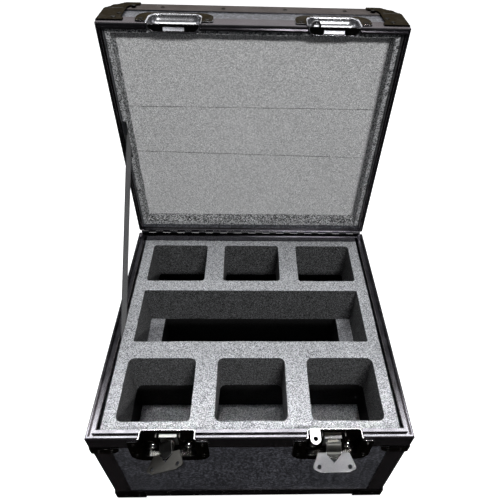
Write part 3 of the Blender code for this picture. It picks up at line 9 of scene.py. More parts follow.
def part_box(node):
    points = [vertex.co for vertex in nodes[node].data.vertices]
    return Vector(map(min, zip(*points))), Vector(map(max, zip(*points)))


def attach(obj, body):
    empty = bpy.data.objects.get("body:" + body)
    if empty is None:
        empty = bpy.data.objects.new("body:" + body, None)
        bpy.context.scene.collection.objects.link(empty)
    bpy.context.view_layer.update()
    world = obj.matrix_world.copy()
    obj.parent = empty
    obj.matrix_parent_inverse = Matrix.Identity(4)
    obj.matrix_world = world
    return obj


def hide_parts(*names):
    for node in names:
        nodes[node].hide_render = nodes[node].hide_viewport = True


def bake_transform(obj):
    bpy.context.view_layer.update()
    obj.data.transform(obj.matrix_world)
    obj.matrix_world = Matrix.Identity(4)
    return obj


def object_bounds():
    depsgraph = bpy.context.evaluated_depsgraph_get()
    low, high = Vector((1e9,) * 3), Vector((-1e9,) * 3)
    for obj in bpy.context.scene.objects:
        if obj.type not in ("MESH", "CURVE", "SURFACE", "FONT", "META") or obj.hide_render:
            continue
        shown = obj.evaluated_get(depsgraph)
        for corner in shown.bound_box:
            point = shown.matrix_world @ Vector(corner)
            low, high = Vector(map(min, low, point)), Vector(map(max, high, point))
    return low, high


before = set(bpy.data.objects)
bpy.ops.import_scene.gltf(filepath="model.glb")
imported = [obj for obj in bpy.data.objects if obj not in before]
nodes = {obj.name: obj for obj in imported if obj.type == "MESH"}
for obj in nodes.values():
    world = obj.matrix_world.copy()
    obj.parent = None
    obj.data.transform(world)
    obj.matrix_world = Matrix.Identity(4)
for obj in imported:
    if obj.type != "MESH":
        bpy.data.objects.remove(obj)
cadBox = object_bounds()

scene = bpy.context.scene
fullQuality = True
sides = (("left", -1), ("right", 1))
corners = {"front_right": (1, -1), "back_right": (1, 1), "back_left": (-1, 1), "front_left": (-1, -1)}

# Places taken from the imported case, in metres
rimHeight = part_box("base_rim")[1].z
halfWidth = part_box("base_rim")[1].x
halfDepth = -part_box("base_rim")[0].y
hingeY = (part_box("hinge_pin")[0].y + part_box("hinge_pin")[1].y) / 2
latchX = (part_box("latch_dish_right")[0].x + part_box("latch_dish_right")[1].x) / 2
dishFace = -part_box("latch_dish_right")[0].y


def onLid(x, y, z):  # a point of the closed lid, carried over to the open one
    return Vector((x, hingeY + z - rimHeight, rimHeight + hingeY - y))


lidTurn = Matrix(((1, 0, 0, 0), (0, 0, 1, hingeY - rimHeight),
                  (0, -1, 0, rimHeight + hingeY), (0, 0, 0, 1)))  # the same move as a matrix


# Node helpers: a value that is a socket is linked, any other is typed in
def wire(tree, kind, inputs=None, **settings):
    made = tree.nodes.new(kind)
    for key, value in settings.items():
        setattr(made, key, value)
    for key, value in (inputs or {}).items():
        if isinstance(value, bpy.types.NodeSocket):
            tree.links.new(value, made.inputs[key])
        else:
            made.inputs[key].default_value = value
    return made


def newGroup(name, inputs, outputs):
    tree = bpy.data.node_groups.new(name, "ShaderNodeTree")
    for label, value in inputs.items():
        kind = "NodeSocketColor" if isinstance(value, tuple) else "NodeSocketFloat"
        socket = tree.interface.new_socket(name=label, in_out="INPUT", socket_type=kind)
        socket.default_value = value
    for label in outputs:
        kind = "NodeSocketColor" if label == "Colour" else "NodeSocketFloat"
        tree.interface.new_socket(name=label, in_out="OUTPUT", socket_type=kind)
    return tree, tree.nodes.new("NodeGroupInput").outputs, tree.nodes.new("NodeGroupOutput").inputs


def treeOf(*values):
    return next(value.id_data for value in values if isinstance(value, bpy.types.NodeSocket))


def maths(operation, first, second=0.0, clamp=False):
    return wire(treeOf(first, second), "ShaderNodeMath", {0: first, 1: second},
                operation=operation, use_clamp=clamp).outputs[0]


def plus(first, second):
    return maths("ADD", first, second)


def minus(first, second, clamp=False):
    return maths("SUBTRACT", first, second, clamp)


def times(first, second):
    return maths("MULTIPLY", first, second)


def spread(value, low, high, start=0.0, end=1.0):
    made = wire(treeOf(value), "ShaderNodeMapRange", {0: value, 1: low, 2: high, 3: start, 4: end})
    made.interpolation_type = "SMOOTHSTEP"
    return made.outputs[0]


def blendColour(factor, first, second, kind="MIX"):
    return wire(treeOf(factor, first, second), "ShaderNodeMix", {0: factor, 6: first, 7: second},
                data_type="RGBA", blend_type=kind).outputs[2]


def ownPlace(tree, stretch=(1, 1, 1), turn=(0, 0, 0)):
    place = wire(tree, "ShaderNodeTexCoord").outputs["Object"]
    return wire(tree, "ShaderNodeMapping",
                {"Vector": place, "Scale": stretch, "Rotation": turn}).outputs[0]


def cloud(place, scale, detail=2.0, roughness=0.5):
    return wire(treeOf(place), "ShaderNodeTexNoise", {"Vector": place, "Scale": scale, "Detail": detail,
                                                      "Roughness": roughness}).outputs["Fac"]


def spots(place, want):  # want: scale, detail and roughness of a cloud, then the range that shows
    return spread(cloud(place, *want[:3]), *want[3:])


def cellPattern(place, scale):
    return wire(treeOf(place), "ShaderNodeTexVoronoi", {"Vector": place, "Scale": scale}).outputs


def channel(colour, index):
    return wire(treeOf(colour), "ShaderNodeSeparateColor", {0: colour}).outputs[index]


def toRgba(colour):
    return (*colour, 1.0)


# Foam: cut cells of many shades, soft clouds, a few pits, and painted shade on the cut walls against the
# level faces
foamCells = {"grainPerCell": 1.2, "grainRange": (0.34, 0.66), "riseRange": (0.75, 0.1), "cellShare": 0.40,
             "grainShare": 0.38, "riseShare": 0.22, "riseHeight": 0.5, "pitsPerMetre": 85.0,
             "pitsKept": (0.80, 0.86), "pitEdge": (0.15, 0.06), "patchesPerMetre": 14.0,
             "levelRange": (0.35, 0.85), "wallBase": 0.04}


def makeFoamGroup():
    want = foamCells
    tree, given, made = newGroup(
        "foam cells",
        {"Cells Per Metre": 700.0, "Light": (0.5, 0.5, 0.5, 1), "Dark": (0.1, 0.1, 0.1, 1),
         "Contrast": 0.5, "Pits": 0.3, "Mottle": 0.1, "Painted Wall Shade": 1.0, "Lid": 0.0},
        ("Colour", "Height"))
    place = ownPlace(tree)
    cells = cellPattern(place, given["Cells Per Metre"])
    grainScale = times(given["Cells Per Metre"], want["grainPerCell"])
    grain = spread(cloud(place, grainScale, 2.0, 0.6), *want["grainRange"])
    rise = spread(cells["Distance"], *want["riseRange"])
    mixed = plus(times(channel(cells["Color"], 0), want["cellShare"]),
                 times(grain, want["grainShare"]))
    mixed = plus(mixed, times(rise, want["riseShare"]))
    pitCells = cellPattern(place, want["pitsPerMetre"])
    chosen = spread(channel(pitCells["Color"], 1), *want["pitsKept"])
    pits = times(spread(pitCells["Distance"], *want["pitEdge"]), chosen)
    pits = times(pits, given["Pits"])
    pushed = plus(times(minus(mixed, 0.5), given["Contrast"]), 0.5)
    patch = minus(cloud(place, want["patchesPerMetre"]), 0.5)
    shade = minus(plus(pushed, times(patch, given["Mottle"])), pits, clamp=True)
    colour = blendColour(shade, given["Dark"], given["Light"])
    normal = wire(tree, "ShaderNodeTexCoord").outputs["Normal"]
    facing = wire(tree, "ShaderNodeSeparateXYZ", {0: normal}).outputs
    alongZ, alongY = [spread(maths("ABSOLUTE", facing[axis]), *want["levelRange"])
                      for axis in (2, 1)]
    level = plus(times(alongY, given["Lid"]),
                 times(alongZ, minus(1.0, given["Lid"])))
    # Walls, the faces that are not level, are multiplied by painted shade from the wall factor; a factor
    # above 1 paints light on them
    paintedWallShade = times(given["Painted Wall Shade"], plus(shade, want["wallBase"]))
    paintedWallShading = plus(times(minus(1.0, level), paintedWallShade), level)
    tree.links.new(blendColour(1.0, colour, paintedWallShading, "MULTIPLY"), made["Colour"])
    raised = plus(mixed, times(rise, want["riseHeight"]))
    tree.links.new(minus(raised, pits), made["Height"])
    return tree


greys = {"Light": (0.1, 0.1, 0.1, 1), "Dark": (0.02, 0.02, 0.02, 1)}  # stand in until a material sets them

# Fine pebbled face of the panels' laminate: pale grains among dark ones
pebbleCells = {"broadPerGrain": 0.45, "broadRange": (0.34, 0.66), "grainShare": 0.5, "broadShare": 0.5,
               "shadeRange": (0.38, 0.92), "patches": (12.0, 2.0, 0.5, 0.3, 0.7, 0.7, 1.0)}


def makePebbleGroup():
    want = pebbleCells
    tree, given, made = newGroup("pebbled face", {"Grains Per Metre": 900.0, **greys}, ("Colour", "Height"))
    place = ownPlace(tree)
    grains = cellPattern(place, given["Grains Per Metre"])
    broadScale = times(given["Grains Per Metre"], want["broadPerGrain"])
    broad = spread(cloud(place, broadScale, 2.0, 0.6), *want["broadRange"])
    mixed = plus(times(channel(grains["Color"], 0), want["grainShare"]),
                 times(broad, want["broadShare"]))
    shade = times(spread(mixed, *want["shadeRange"]), spots(place, want["patches"]))
    tree.links.new(blendColour(shade, given["Dark"], given["Light"]), made["Colour"])
    tree.links.new(minus(mixed, grains["Distance"]), made["Height"])
    return tree


# Use: rubbed spots, fine scratches two ways and a little dust
wearPattern = {"rubAreas": (34.0, 3.0, 0.6, 0.46, 0.62), "rubGrain": (330.0, 3.0, 0.7, 0.42, 0.58),
               "long": ((35, 900, 420), (0.3, 0.5, 0.7), (1.0, 2.0, 0.6, 0.68, 0.74)),
               "cross": ((700, 30, 600), (0.9, 0.2, 0.4), (1.0, 2.0, 0.6, 0.70, 0.75)),
               "scratchAreas": (18.0, 2.0, 0.5, 0.48, 0.62),
               "dustAreas": (9.0, 5.0, 0.65, 0.48, 0.78), "dustGrain": (420.0, 3.0, 0.7, 0.42, 0.7)}


def makeWearGroup():
    want = wearPattern
    tree, given, made = newGroup(
        "wear and dust", {"Rub": 0.5, "Scratches": 0.3, "Dust": 0.3}, ("Rubbed", "Scratched", "Dusty"))
    place = ownPlace(tree)
    rubbed = times(spots(place, want["rubAreas"]), spots(place, want["rubGrain"]))
    tree.links.new(times(rubbed, given["Rub"]), made["Rubbed"])
    long, cross = [spots(ownPlace(tree, stretch, turn), lines)
                   for stretch, turn, lines in (want["long"], want["cross"])]
    lines = times(maths("MAXIMUM", long, cross), spots(place, want["scratchAreas"]))
    tree.links.new(times(lines, given["Scratches"]), made["Scratched"])
    dust = times(spots(place, want["dustAreas"]), spots(place, want["dustGrain"]))
    tree.links.new(times(dust, given["Dust"]), made["Dusty"])
    return tree


# Fine drawn grain of plated sheet steel
drawnGrain = {"stretch": (2600, 2600, 90), "fine": (1.0, 2.0, 0.6), "broad": (60.0, 3.0, 0.6),
              "fineShare": 0.6, "broadShare": 0.4, "shadeRange": (0.38, 0.62, -0.5, 0.5)}


def makeGrainGroup():
    want = drawnGrain
    tree, given, made = newGroup("drawn grain", {"Strength": 0.5}, ("Shade", "Height"))
    fine = cloud(ownPlace(tree, want["stretch"]), *want["fine"])
    broad = cloud(ownPlace(tree), *want["broad"])
    mixed = plus(times(fine, want["fineShare"]), times(broad, want["broadShare"]))
    shade = times(spread(mixed, *want["shadeRange"]), given["Strength"])
    tree.links.new(plus(shade, 1.0), made["Shade"])
    tree.links.new(fine, made["Height"])
    return tree


# Plain weave of narrow webbing, in turned object space
weavePattern = {"acrossRatio": 0.8, "fibres": (900, 900, 2600), "fibreHeight": 0.5,
                "shadeRange": (0.3, 1.2)}


def makeWeaveGroup(turn):
    want = weavePattern
    tree, given, made = newGroup("webbing weave", {"Ribs Per Metre": 560.0, **greys}, ("Colour", "Height"))
    place = wire(tree, "ShaderNodeSeparateXYZ", {0: ownPlace(tree, (1, 1, 1), turn)}).outputs
    rib = times(given["Ribs Per Metre"], math.tau)
    along = maths("SINE", times(place[2], rib))
    across = maths("SINE", times(place[1], times(rib, want["acrossRatio"])))
    fibre = cloud(ownPlace(tree, want["fibres"], turn), 1.0, 2.0, 0.6)
    height = plus(spread(times(along, across), -1.0, 1.0),
                  times(fibre, want["fibreHeight"]))
    shade = spread(height, *want["shadeRange"])
    tree.links.new(blendColour(shade, given["Dark"], given["Light"]), made["Colour"])
    tree.links.new(height, made["Height"])
    return tree


foamGroup, pebbleGroup = makeFoamGroup(), makePebbleGroup()
wearGroup, grainGroup = makeWearGroup(), makeGrainGroup()


def startMaterial(name, **shaderValues):
    material = bpy.data.materials.new(name)
    material.use_nodes = True
    shader = material.node_tree.nodes["Principled BSDF"]
    for key, value in shaderValues.items():
        shader.inputs[key.replace("_", " ")].default_value = value
    return material, material.node_tree, shader


def useGroup(tree, group, values):
    made = wire(tree, "ShaderNodeGroup", node_tree=group)
    for key, value in values.items():
        if isinstance(value, bpy.types.NodeSocket):
            tree.links.new(value, made.inputs[key])
        else:
            made.inputs[key].default_value = toRgba(value) if isinstance(value, tuple) else value
    return made.outputs


def dress(tree, shader, want, colour, height, rough=None):
    tree.links.new(colour, shader.inputs["Base Color"])
    if rough is not None:
        tree.links.new(rough, shader.inputs["Roughness"])
    bump = wire(tree, "ShaderNodeBump", {"Height": height, "Strength": want["bump"],
                                         "Distance": want["bumpDistance"]})
    tree.links.new(bump.outputs[0], shader.inputs["Normal"])


# Foam finishes: cells for each metre, and the painted shade of cut walls against level faces: near black in
# the pocket foam, and above 1 for the edging, where it paints light on the walls
foamShared = {"specular": 0.25, "sheen": 0.08, "sheenRough": 0.6, "bump": 0.35, "bumpDistance": 0.0012,
              "mottle": 0.15, "pits": 0.3, "rough": 0.92}
foamFinish = {
    "sheet foam": {"light": (0.70, 0.715, 0.74), "dark": (0.13, 0.134, 0.142), "contrast": 2.4,
                   "cells": 760.0, "wall": 0.24, "mottle": 0.12, "pits": 0.35, "rough": 0.9},
    "pocket foam": {"light": (0.70, 0.71, 0.745), "dark": (0.21, 0.214, 0.232), "contrast": 2.8,
                    # the pocket foam's walls are painted nearly black, as painted shade in the deep pockets
                    "cells": 620.0, "wall": 0.012, "sheen": 0.0},
    "lid foam": {"light": (1.0, 1.0, 1.0), "dark": (0.30, 0.305, 0.31), "contrast": 3.2,
                 "cells": 1150.0, "wall": 0.7, "pits": 2.0, "bump": 0.2},
    # the edging's walls are painted lighter than its faces, as painted light
    "edging foam": {"light": (0.70, 0.71, 0.72), "dark": (0.01, 0.011, 0.013), "contrast": 1.9,
                    "cells": 480.0, "wall": 1.35, "mottle": 0.3, "rough": 0.95, "bump": 0.5},
}


def makeFoam(name):
    want = {**foamShared, **foamFinish[name]}
    material, tree, shader = startMaterial(
        name, Roughness=want["rough"], Sheen_Weight=want["sheen"], Sheen_Roughness=want["sheenRough"],
        Specular_IOR_Level=want["specular"])
    made = useGroup(tree, foamGroup, {
        "Cells Per Metre": want["cells"], "Light": want["light"], "Dark": want["dark"],
        "Contrast": want["contrast"], "Pits": want["pits"], "Mottle": want["mottle"],
        "Painted Wall Shade": want["wall"], "Lid": float(name in ("lid foam", "edging foam"))})
    dress(tree, shader, want, made["Colour"], made["Height"])
    return material


laminateFinish = {"light": (0.200, 0.206, 0.238), "dark": (0.016, 0.0165, 0.020), "grains": 640.0,
                  "rough": 0.34, "specular": 0.6, "bump": 0.35, "bumpDistance": 0.0006, "scratches": 0.2,
                  "scratched": (0.13, 0.13, 0.14), "dust": 0.12, "dusty": (0.16, 0.16, 0.165),
                  "dustRough": 0.3}


def makeLaminate():
    want = laminateFinish
    material, tree, shader = startMaterial("pebbled laminate", Specular_IOR_Level=want["specular"])
    face = useGroup(tree, pebbleGroup, {"Grains Per Metre": want["grains"], "Light": want["light"],
                                        "Dark": want["dark"]})
    wear = useGroup(tree, wearGroup, {"Scratches": want["scratches"], "Dust": want["dust"]})
    colour = blendColour(wear["Dusty"], face["Colour"], toRgba(want["dusty"]))
    colour = blendColour(wear["Scratched"], colour, toRgba(want["scratched"]))
    rough = plus(times(wear["Dusty"], want["dustRough"]), want["rough"])
    dress(tree, shader, want, colour, face["Height"], rough)
    return material


# Black metals: the profiles are anodised, the pressed fittings gloss coated, and edges show some wear
blackShared = {"metal": 1.0, "rub": 0.10, "scratches": 0.3, "dust": 0.06, "dusty": (0.10, 0.10, 0.10),
               "dustRough": 0.5, "scratchShare": 0.8, "uneven": (38.0, 3.0, 0.6, 0.3, 0.7, -0.03, 0.05),
               "ripple": (260.0, 3.0, 0.55), "bump": 0.05, "bumpDistance": 0.0006}
blackFinish = {
    "black anodised": {"colour": (0.135, 0.131, 0.143), "rough": 0.17, "rubbed": 0.30,
                       "grazing": (0.72, 0.68, 0.66)},
    # the lid's edge frame is the same anodised profile as the base's, given a darker copy as painted shade
    "black lid edge with painted shade": {"colour": (0.095, 0.091, 0.096), "rough": 0.17, "rubbed": 0.30,
                       "grazing": (0.66, 0.62, 0.58)},
    "black nickel": {"colour": (0.22, 0.218, 0.215), "rough": 0.20, "rub": 0.08, "rubbed": 0.45,
                     "grazing": (1.0, 1.0, 1.0)},
    "black gloss": {"colour": (0.032, 0.031, 0.029), "rough": 0.22, "rubbed": 0.25,
                    "grazing": (0.46, 0.44, 0.41)},
    "black edge": {"colour": (0.30, 0.295, 0.315), "rough": 0.20, "rub": 0.6, "rubbed": 0.50,
                   "grazing": (0.9, 0.9, 0.9)},
    "black hinge": {"colour": (0.045, 0.044, 0.048), "rough": 0.34, "rubbed": 0.20, "dust": 0.10,
                    "grazing": (0.4, 0.4, 0.4)},
    "black rubber": {"colour": (0.014, 0.014, 0.015), "rough": 0.62, "metal": 0.0, "rubbed": 0.05,
                     "scratches": 0.2, "dust": 0.3, "grazing": (1.0, 1.0, 1.0)},
}


def makeBlack(name):
    want = {**blackShared, **blackFinish[name]}
    material, tree, shader = startMaterial(name, Metallic=want["metal"],
                                           Specular_Tint=toRgba(want["grazing"]))
    wear = useGroup(tree, wearGroup, {"Rub": want["rub"], "Scratches": want["scratches"],
                                      "Dust": want["dust"]})
    scratch = want["rubbed"] * want["scratchShare"]
    colour = blendColour(wear["Dusty"], toRgba(want["colour"]), toRgba(want["dusty"]))
    colour = blendColour(wear["Rubbed"], colour, toRgba((want["rubbed"],) * 3))
    colour = blendColour(wear["Scratched"], colour, toRgba((scratch,) * 3))
    rough = plus(want["rough"], spots(ownPlace(tree), want["uneven"]))
    rough = plus(rough, times(wear["Dusty"], want["dustRough"]))
    dress(tree, shader, want, colour, cloud(ownPlace(tree), *want["ripple"]), rough)
    return material


steelShared = {"scratches": 0.5, "dust": 0.4, "dusty": (0.25, 0.24, 0.22), "dustRough": 0.3,
               "scratchSmooth": 0.12, "bump": 0.08, "bumpDistance": 0.0004}
steelFinish = {
    "plated steel": {"colour": (0.70, 0.70, 0.715), "rough": 0.30, "grain": 0.18},
    "grip steel": {"colour": (0.135, 0.137, 0.142), "rough": 0.46, "grain": 0.35},
    # keeper steel: the keeper dish's pan is lighter than the black flange of the same pressed sheet, as
    # painted light; also the keeper's padlock tab
    "keeper steel and painted light": {"colour": (0.42, 0.42, 0.435), "rough": 0.26, "grain": 0.15},
    "bare edge": {"colour": (0.62, 0.615, 0.64), "rough": 0.22, "grain": 0.2},
    "saddle steel": {"colour": (0.030, 0.030, 0.028), "rough": 0.34, "grain": 0.35},
    "claw steel": {"colour": (0.28, 0.28, 0.275), "rough": 0.30, "grain": 0.2},
    # dull steel: its tone is lowered as painted shade for the left latch grip, a copy of the right one;
    # also the spindle, fold pins and stay bushes
    "dull steel with painted shade": {"colour": (0.105, 0.102, 0.092), "rough": 0.38, "grain": 0.25},
}


def makeSteel(name):
    want = {**steelShared, **steelFinish[name]}
    material, tree, shader = startMaterial(name, Metallic=1.0)
    grain = useGroup(tree, grainGroup, {"Strength": want["grain"]})
    wear = useGroup(tree, wearGroup, {"Scratches": want["scratches"], "Dust": want["dust"]})
    tint = blendColour(1.0, toRgba(want["colour"]), grain["Shade"], "MULTIPLY")
    colour = blendColour(wear["Dusty"], tint, toRgba(want["dusty"]))
    rough = plus(times(grain["Shade"], want["rough"]),
                 times(wear["Dusty"], want["dustRough"]))
    rough = minus(rough, times(wear["Scratched"], want["scratchSmooth"]))
    dress(tree, shader, want, colour, grain["Height"], rough)
    return material


foams = {name: makeFoam(name) for name in foamFinish}
laminate = makeLaminate()
blacks = {name: makeBlack(name) for name in blackFinish}
steels = {name: makeSteel(name) for name in steelFinish}
print("finishes made")


# Mesh helpers
def newPiece(name, form, materials, smoothAngle):
    mesh = bpy.data.meshes.new(name)
    form.to_mesh(mesh)
    form.free()
    for used in materials:
        mesh.materials.append(used)
    mesh.shade_smooth()
    mesh.set_sharp_from_angle(angle=math.radians(smoothAngle))
    piece = bpy.data.objects.new(name, mesh)
    scene.collection.objects.link(piece)
    return piece


def finishPiece(name, form, materials, body, smoothAngle=35):
    bmesh.ops.recalc_face_normals(form, faces=form.faces)
    piece = newPiece(name, form, materials, smoothAngle)
    if body:
        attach(piece, body)
    return piece


def softenEdges(piece, width, segments, angle, slot=-1, harden=True):
    bevel = piece.modifiers.new("soft edges", "BEVEL")
    bevel.width = width
    bevel.segments = segments
    bevel.limit_method = "ANGLE"
    bevel.angle_limit = math.radians(angle)
    bevel.harden_normals = harden
    bevel.material = slot


def applyModifiers(piece):
    bpy.context.view_layer.update()
    graph = bpy.context.evaluated_depsgraph_get()
    mesh = bpy.data.meshes.new_from_object(piece.evaluated_get(graph))
    piece.modifiers.clear()
    piece.data = mesh


def finishSheet(name, form, materials, wall, growth, body, bevel=0.0003):
    piece = newPiece(name, form, materials, 40)
    solid = piece.modifiers.new("sheet", "SOLIDIFY")  # the open sheet is given its thickness
    solid.thickness = wall
    solid.offset = growth
    solid.use_even_offset = True
    solid.material_offset_rim = 1 if bevel else 0
    if bevel:
        softenEdges(piece, bevel, 2, 60, 1)
    applyModifiers(piece)
    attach(piece, body)
    return piece


def addRows(form, rows, slot=0):  # faces between outlines with as many points each
    for first, second in zip(rows, rows[1:]):
        for quad in zip(first, first[1:], second[1:], second):
            form.faces.new(quad).material_index = slot


def addTurned(form, profile, matrix, count):  # profile of radius and height, centre to centre
    rings = []
    for radius, height in profile:
        if radius < 1e-7:
            rings.append([form.verts.new(matrix @ Vector((0, 0, height)))])
            continue
        ring = []
        for step in range(count):
            angle = math.tau * step / count
            spot = Vector((radius * math.cos(angle), radius * math.sin(angle), height))
            ring.append(form.verts.new(matrix @ spot))
        rings.append(ring)
    for first, second in zip(rings, rings[1:]):
        for step in range(count):
            following = (step + 1) % count
            face = [first[step % len(first)], first[following % len(first)],
                    second[following % len(second)], second[step % len(second)]]
            face = list(dict.fromkeys(face))
            if len(face) > 2:
                form.faces.new(face)


def facing(place, outward):  # local Z points outward
    turn = Vector(outward).normalized().to_track_quat("Z", "Y").to_matrix().to_4x4()
    return Matrix.Translation(place) @ turn


# Carried-over pieces: words in the name, finish, width of the soft edges and finish of worn edges
anodised, gloss, hingeBlack = blacks["black anodised"], blacks["black gloss"], blacks["black hinge"]
edge, bare, dull = blacks["black edge"], steels["bare edge"], steels["dull steel with painted shade"]
plated = steels["plated steel"]
nodeFinish = (
    ("_panel", laminate, 0.0003, None), ("base_edge_frame", anodised, 0.0004, edge),
    ("base_rim", anodised, 0.00035, edge), ("lid_rim", anodised, 0.00035, edge),
    ("bottom_corner", gloss, 0.0004, edge), ("brace", gloss, 0.0004, edge),
    ("leaf", hingeBlack, 0.0003, None), ("hinge_pin", anodised, 0.0, None),
    ("handle_dish", gloss, 0.0005, bare), ("handle_bail", blacks["black rubber"], 0.0004, None),
    ("latch_plate", gloss, 0.0004, bare), ("latch_claw", steels["claw steel"], 0.0003, plated),
    ("latch_spindle", dull, 0.0, None), ("latch_fold_pin", dull, 0.0, None),
    # The two latch grips are one part: the left one gets the darker dull steel and no bright worn edges, as
    # painted shade
    ("latch_grip_left", dull, 0.0004, None), ("latch_grip_right", steels["grip steel"], 0.0004, plated),
    ("padlock_tab_base", plated, 0.0003, None), ("stay_bush", dull, 0.0, None))
lidPanels = [name for name in nodes if name.startswith("lid_") and name.endswith("_panel")]


def finishNode(piece, material, rounding, worn):
    piece.data.materials.clear()
    piece.data.materials.append(material)
    if worn:
        piece.data.materials.append(worn)
    if rounding:
        softenEdges(piece, rounding, 3, 40, 1 if worn else -1)


for name, piece in nodes.items():
    for words, *finish in nodeFinish:
        if words in name and name not in lidPanels:
            finishNode(piece, *finish)
print("carried-over pieces finished")


# Foam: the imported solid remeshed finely, its cuts wandering a little and its surface uneven
lidPad = {"finish": "lid foam", "depth": 7, "wander": 0.0005, "rough": 0.0002}
foamShape = {
    "foam_top_sheet": {"finish": "sheet foam", "depth": 8, "wander": 0.0006, "rough": 0.00022},
    "foam_middle_sheet": {"finish": "pocket foam", "depth": 7, "wander": 0.0006, "rough": 0.0003},
    "foam_floor_pad": {"finish": "pocket foam", "depth": 7, "wander": 0.0005, "rough": 0.0003},
    "lid_foam_edging": {"finish": "edging foam", "depth": 8, "wander": 0.0005, "rough": 0.0006},
    "lid_foam_pad_front": lidPad, "lid_foam_pad_middle": lidPad, "lid_foam_pad_back": lidPad,
}
foamSurface = {"remeshScale": 0.96, "wanderScale": 28, "roughScale": 210, "inset": 0.6, "sharpAngle": 50}


def makeFoamPiece(node, want):
    shared = foamSurface
    mesh = nodes[node].data.copy()
    mesh.materials.clear()
    mesh.materials.append(foams[want["finish"]])
    piece = bpy.data.objects.new(node.replace("foam", "cut_foam"), mesh)
    scene.collection.objects.link(piece)
    remesh = piece.modifiers.new("cells", "REMESH")
    remesh.mode = "SHARP"
    remesh.octree_depth = want["depth"] if fullQuality else want["depth"] - 1
    remesh.scale = shared["remeshScale"]
    applyModifiers(piece)
    mesh = piece.data
    count = len(mesh.vertices)
    places = np.empty(count * 3, np.float32)
    normals = np.empty(count * 3, np.float32)
    mesh.vertices.foreach_get("co", places)
    mesh.vertices.foreach_get("normal", normals)
    places, normals = places.reshape(-1, 3), normals.reshape(-1, 3)
    moved = np.empty(count, np.float32)
    for index in range(count):
        spot = Vector(places[index])
        moved[index] = (want["wander"] * noise.noise(spot * shared["wanderScale"])
                        + want["rough"] * noise.noise(spot * shared["roughScale"]))
    moved -= want["wander"] * shared["inset"]
    mesh.vertices.foreach_set("co", (places + normals * moved[:, None]).ravel())
    mesh.update()
    mesh.shade_smooth()
    mesh.set_sharp_from_angle(angle=math.radians(shared["sharpAngle"]))
    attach(piece, "lid" if node.startswith("lid") else "base")
    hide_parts(node)


for node, want in foamShape.items():
    makeFoamPiece(node, want)
print("foam made")


# Webbing stay: thick selvedges, a thinner middle and trimmed ends under its two fixings
stayShape = {"width": 0.030, "wall": 0.0013, "selvedge": 0.0018, "middleShare": 0.72, "edgeShare": 0.6,
             "stations": 90, "endInset": 0.010, "endWidth": 0.55, "endSlope": 12,
             "light": (0.070, 0.071, 0.078), "dark": (0.010, 0.010, 0.012), "ribs": 420.0, "rough": 0.85,
             "sheen": 0.3, "bump": 0.6, "bumpDistance": 0.0006, "smoothAngle": 50}


def makeStay():
    want = stayShape
    low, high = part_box("stay_strap")
    startPlace, endPlace = [[(a + b) / 2 for a, b in zip(*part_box(name))]
                            for name in ("stay_bush_base", "stay_bush_lid")]
    middleX = (low.x + high.x) / 2
    begin, finish = Vector((middleX, *startPlace[1:])), Vector((middleX, *endPlace[1:]))
    along = (finish - begin).normalized()
    across = Vector((1, 0, 0)).cross(along)
    begin, finish = begin - along * want["endInset"], finish + along * want["endInset"]
    half, wall, selvedge = want["width"] / 2, want["wall"] / 2, want["selvedge"]
    thin, rim = wall * want["middleShare"], wall * want["edgeShare"]
    section = [(-half, -rim), (-half + selvedge * 0.3, -wall), (-half + selvedge, -wall),
               (-half + selvedge * 1.5, -thin), (-half * 0.5, -thin), (0, -thin), (half * 0.5, -thin),
               (half - selvedge * 1.5, -thin), (half - selvedge, -wall), (half - selvedge * 0.3, -wall),
               (half, -rim)]
    section += [(u, -w) for u, w in reversed(section)]
    form = bmesh.new()
    rings = []
    length = (finish - begin).length
    for step in range(want["stations"] + 1):
        share = step / want["stations"]
        centre = begin + along * length * share
        trim = min(1.0, want["endWidth"] + want["endSlope"] * min(share, 1 - share))
        rings.append([form.verts.new(centre + across * u * trim + Vector((w, 0, 0))) for u, w in section])
    addRows(form, [ring + ring[:1] for ring in rings])
    form.faces.new(rings[0])
    form.faces.new(list(reversed(rings[-1])))
    angle = math.atan2(along.y, along.z)
    material, tree, shader = startMaterial("stay webbing", Roughness=want["rough"],
                                           Sheen_Weight=want["sheen"])
    made = useGroup(tree, makeWeaveGroup((angle, 0, 0)),
                    {"Ribs Per Metre": want["ribs"], "Light": want["light"], "Dark": want["dark"]})
    dress(tree, shader, want, made["Colour"], made["Height"])
    piece = finishPiece("webbing_stay", form, [material], None, want["smoothAngle"])
    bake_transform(piece)
    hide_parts("stay_strap")


makeStay()
print("stay made")


# Rivets of the braces, profiles and dishes, one mesh for each body; sizes are radius and height
rivetHead = ((0, 0.52), (0.20, 0.50), (0.30, 0.93), (0.42, 1.0), (0.66, 0.86), (0.86, 0.52), (0.97, 0.20),
             (1, 0.0), (1, -0.1), (0, -0.1))  # shares of the radius and of the height
rivetSizes = {"brace": (0.0041, 0.0015), "flank": (0.0041, 0.0004), "dish": (0.0040, 0.0014),
              "profile": (0.0031, 0.0011), "handle": (0.0040, 0.0014)}
rivetPlaces = {"skin": 0.0015, "rimBrace": (0.012, 0.030), "rimBraceUp": 0.001, "foot": (0.016, 0.038),
               "footLevel": 0.0085, "ear": 0.0475, "latchEars": (0.0185, 0.055), "keeperEar": 0.0175,
               "handleEdge": 0.0075, "handleRow": (-0.045, 0.0, 0.045), "handleEnd": 0.0685,
               "handleEndUp": 0.028, "rowShares": (-0.62, -0.21, 0.21, 0.62), "baseRows": (0.0165, 0.0235),
               "lidRows": (0.0165, 0.0185), "lidHeight": 0.0886,
               "lidCorner": ((0.041, 0.014), (0.027, 0.050), (0.022, 0.066))}


def addRivet(form, kind, place, outward):
    radius, height = rivetSizes[kind]
    profile = [(share * radius, level * height) for share, level in rivetHead]
    addTurned(form, profile, facing(place, outward), 24)


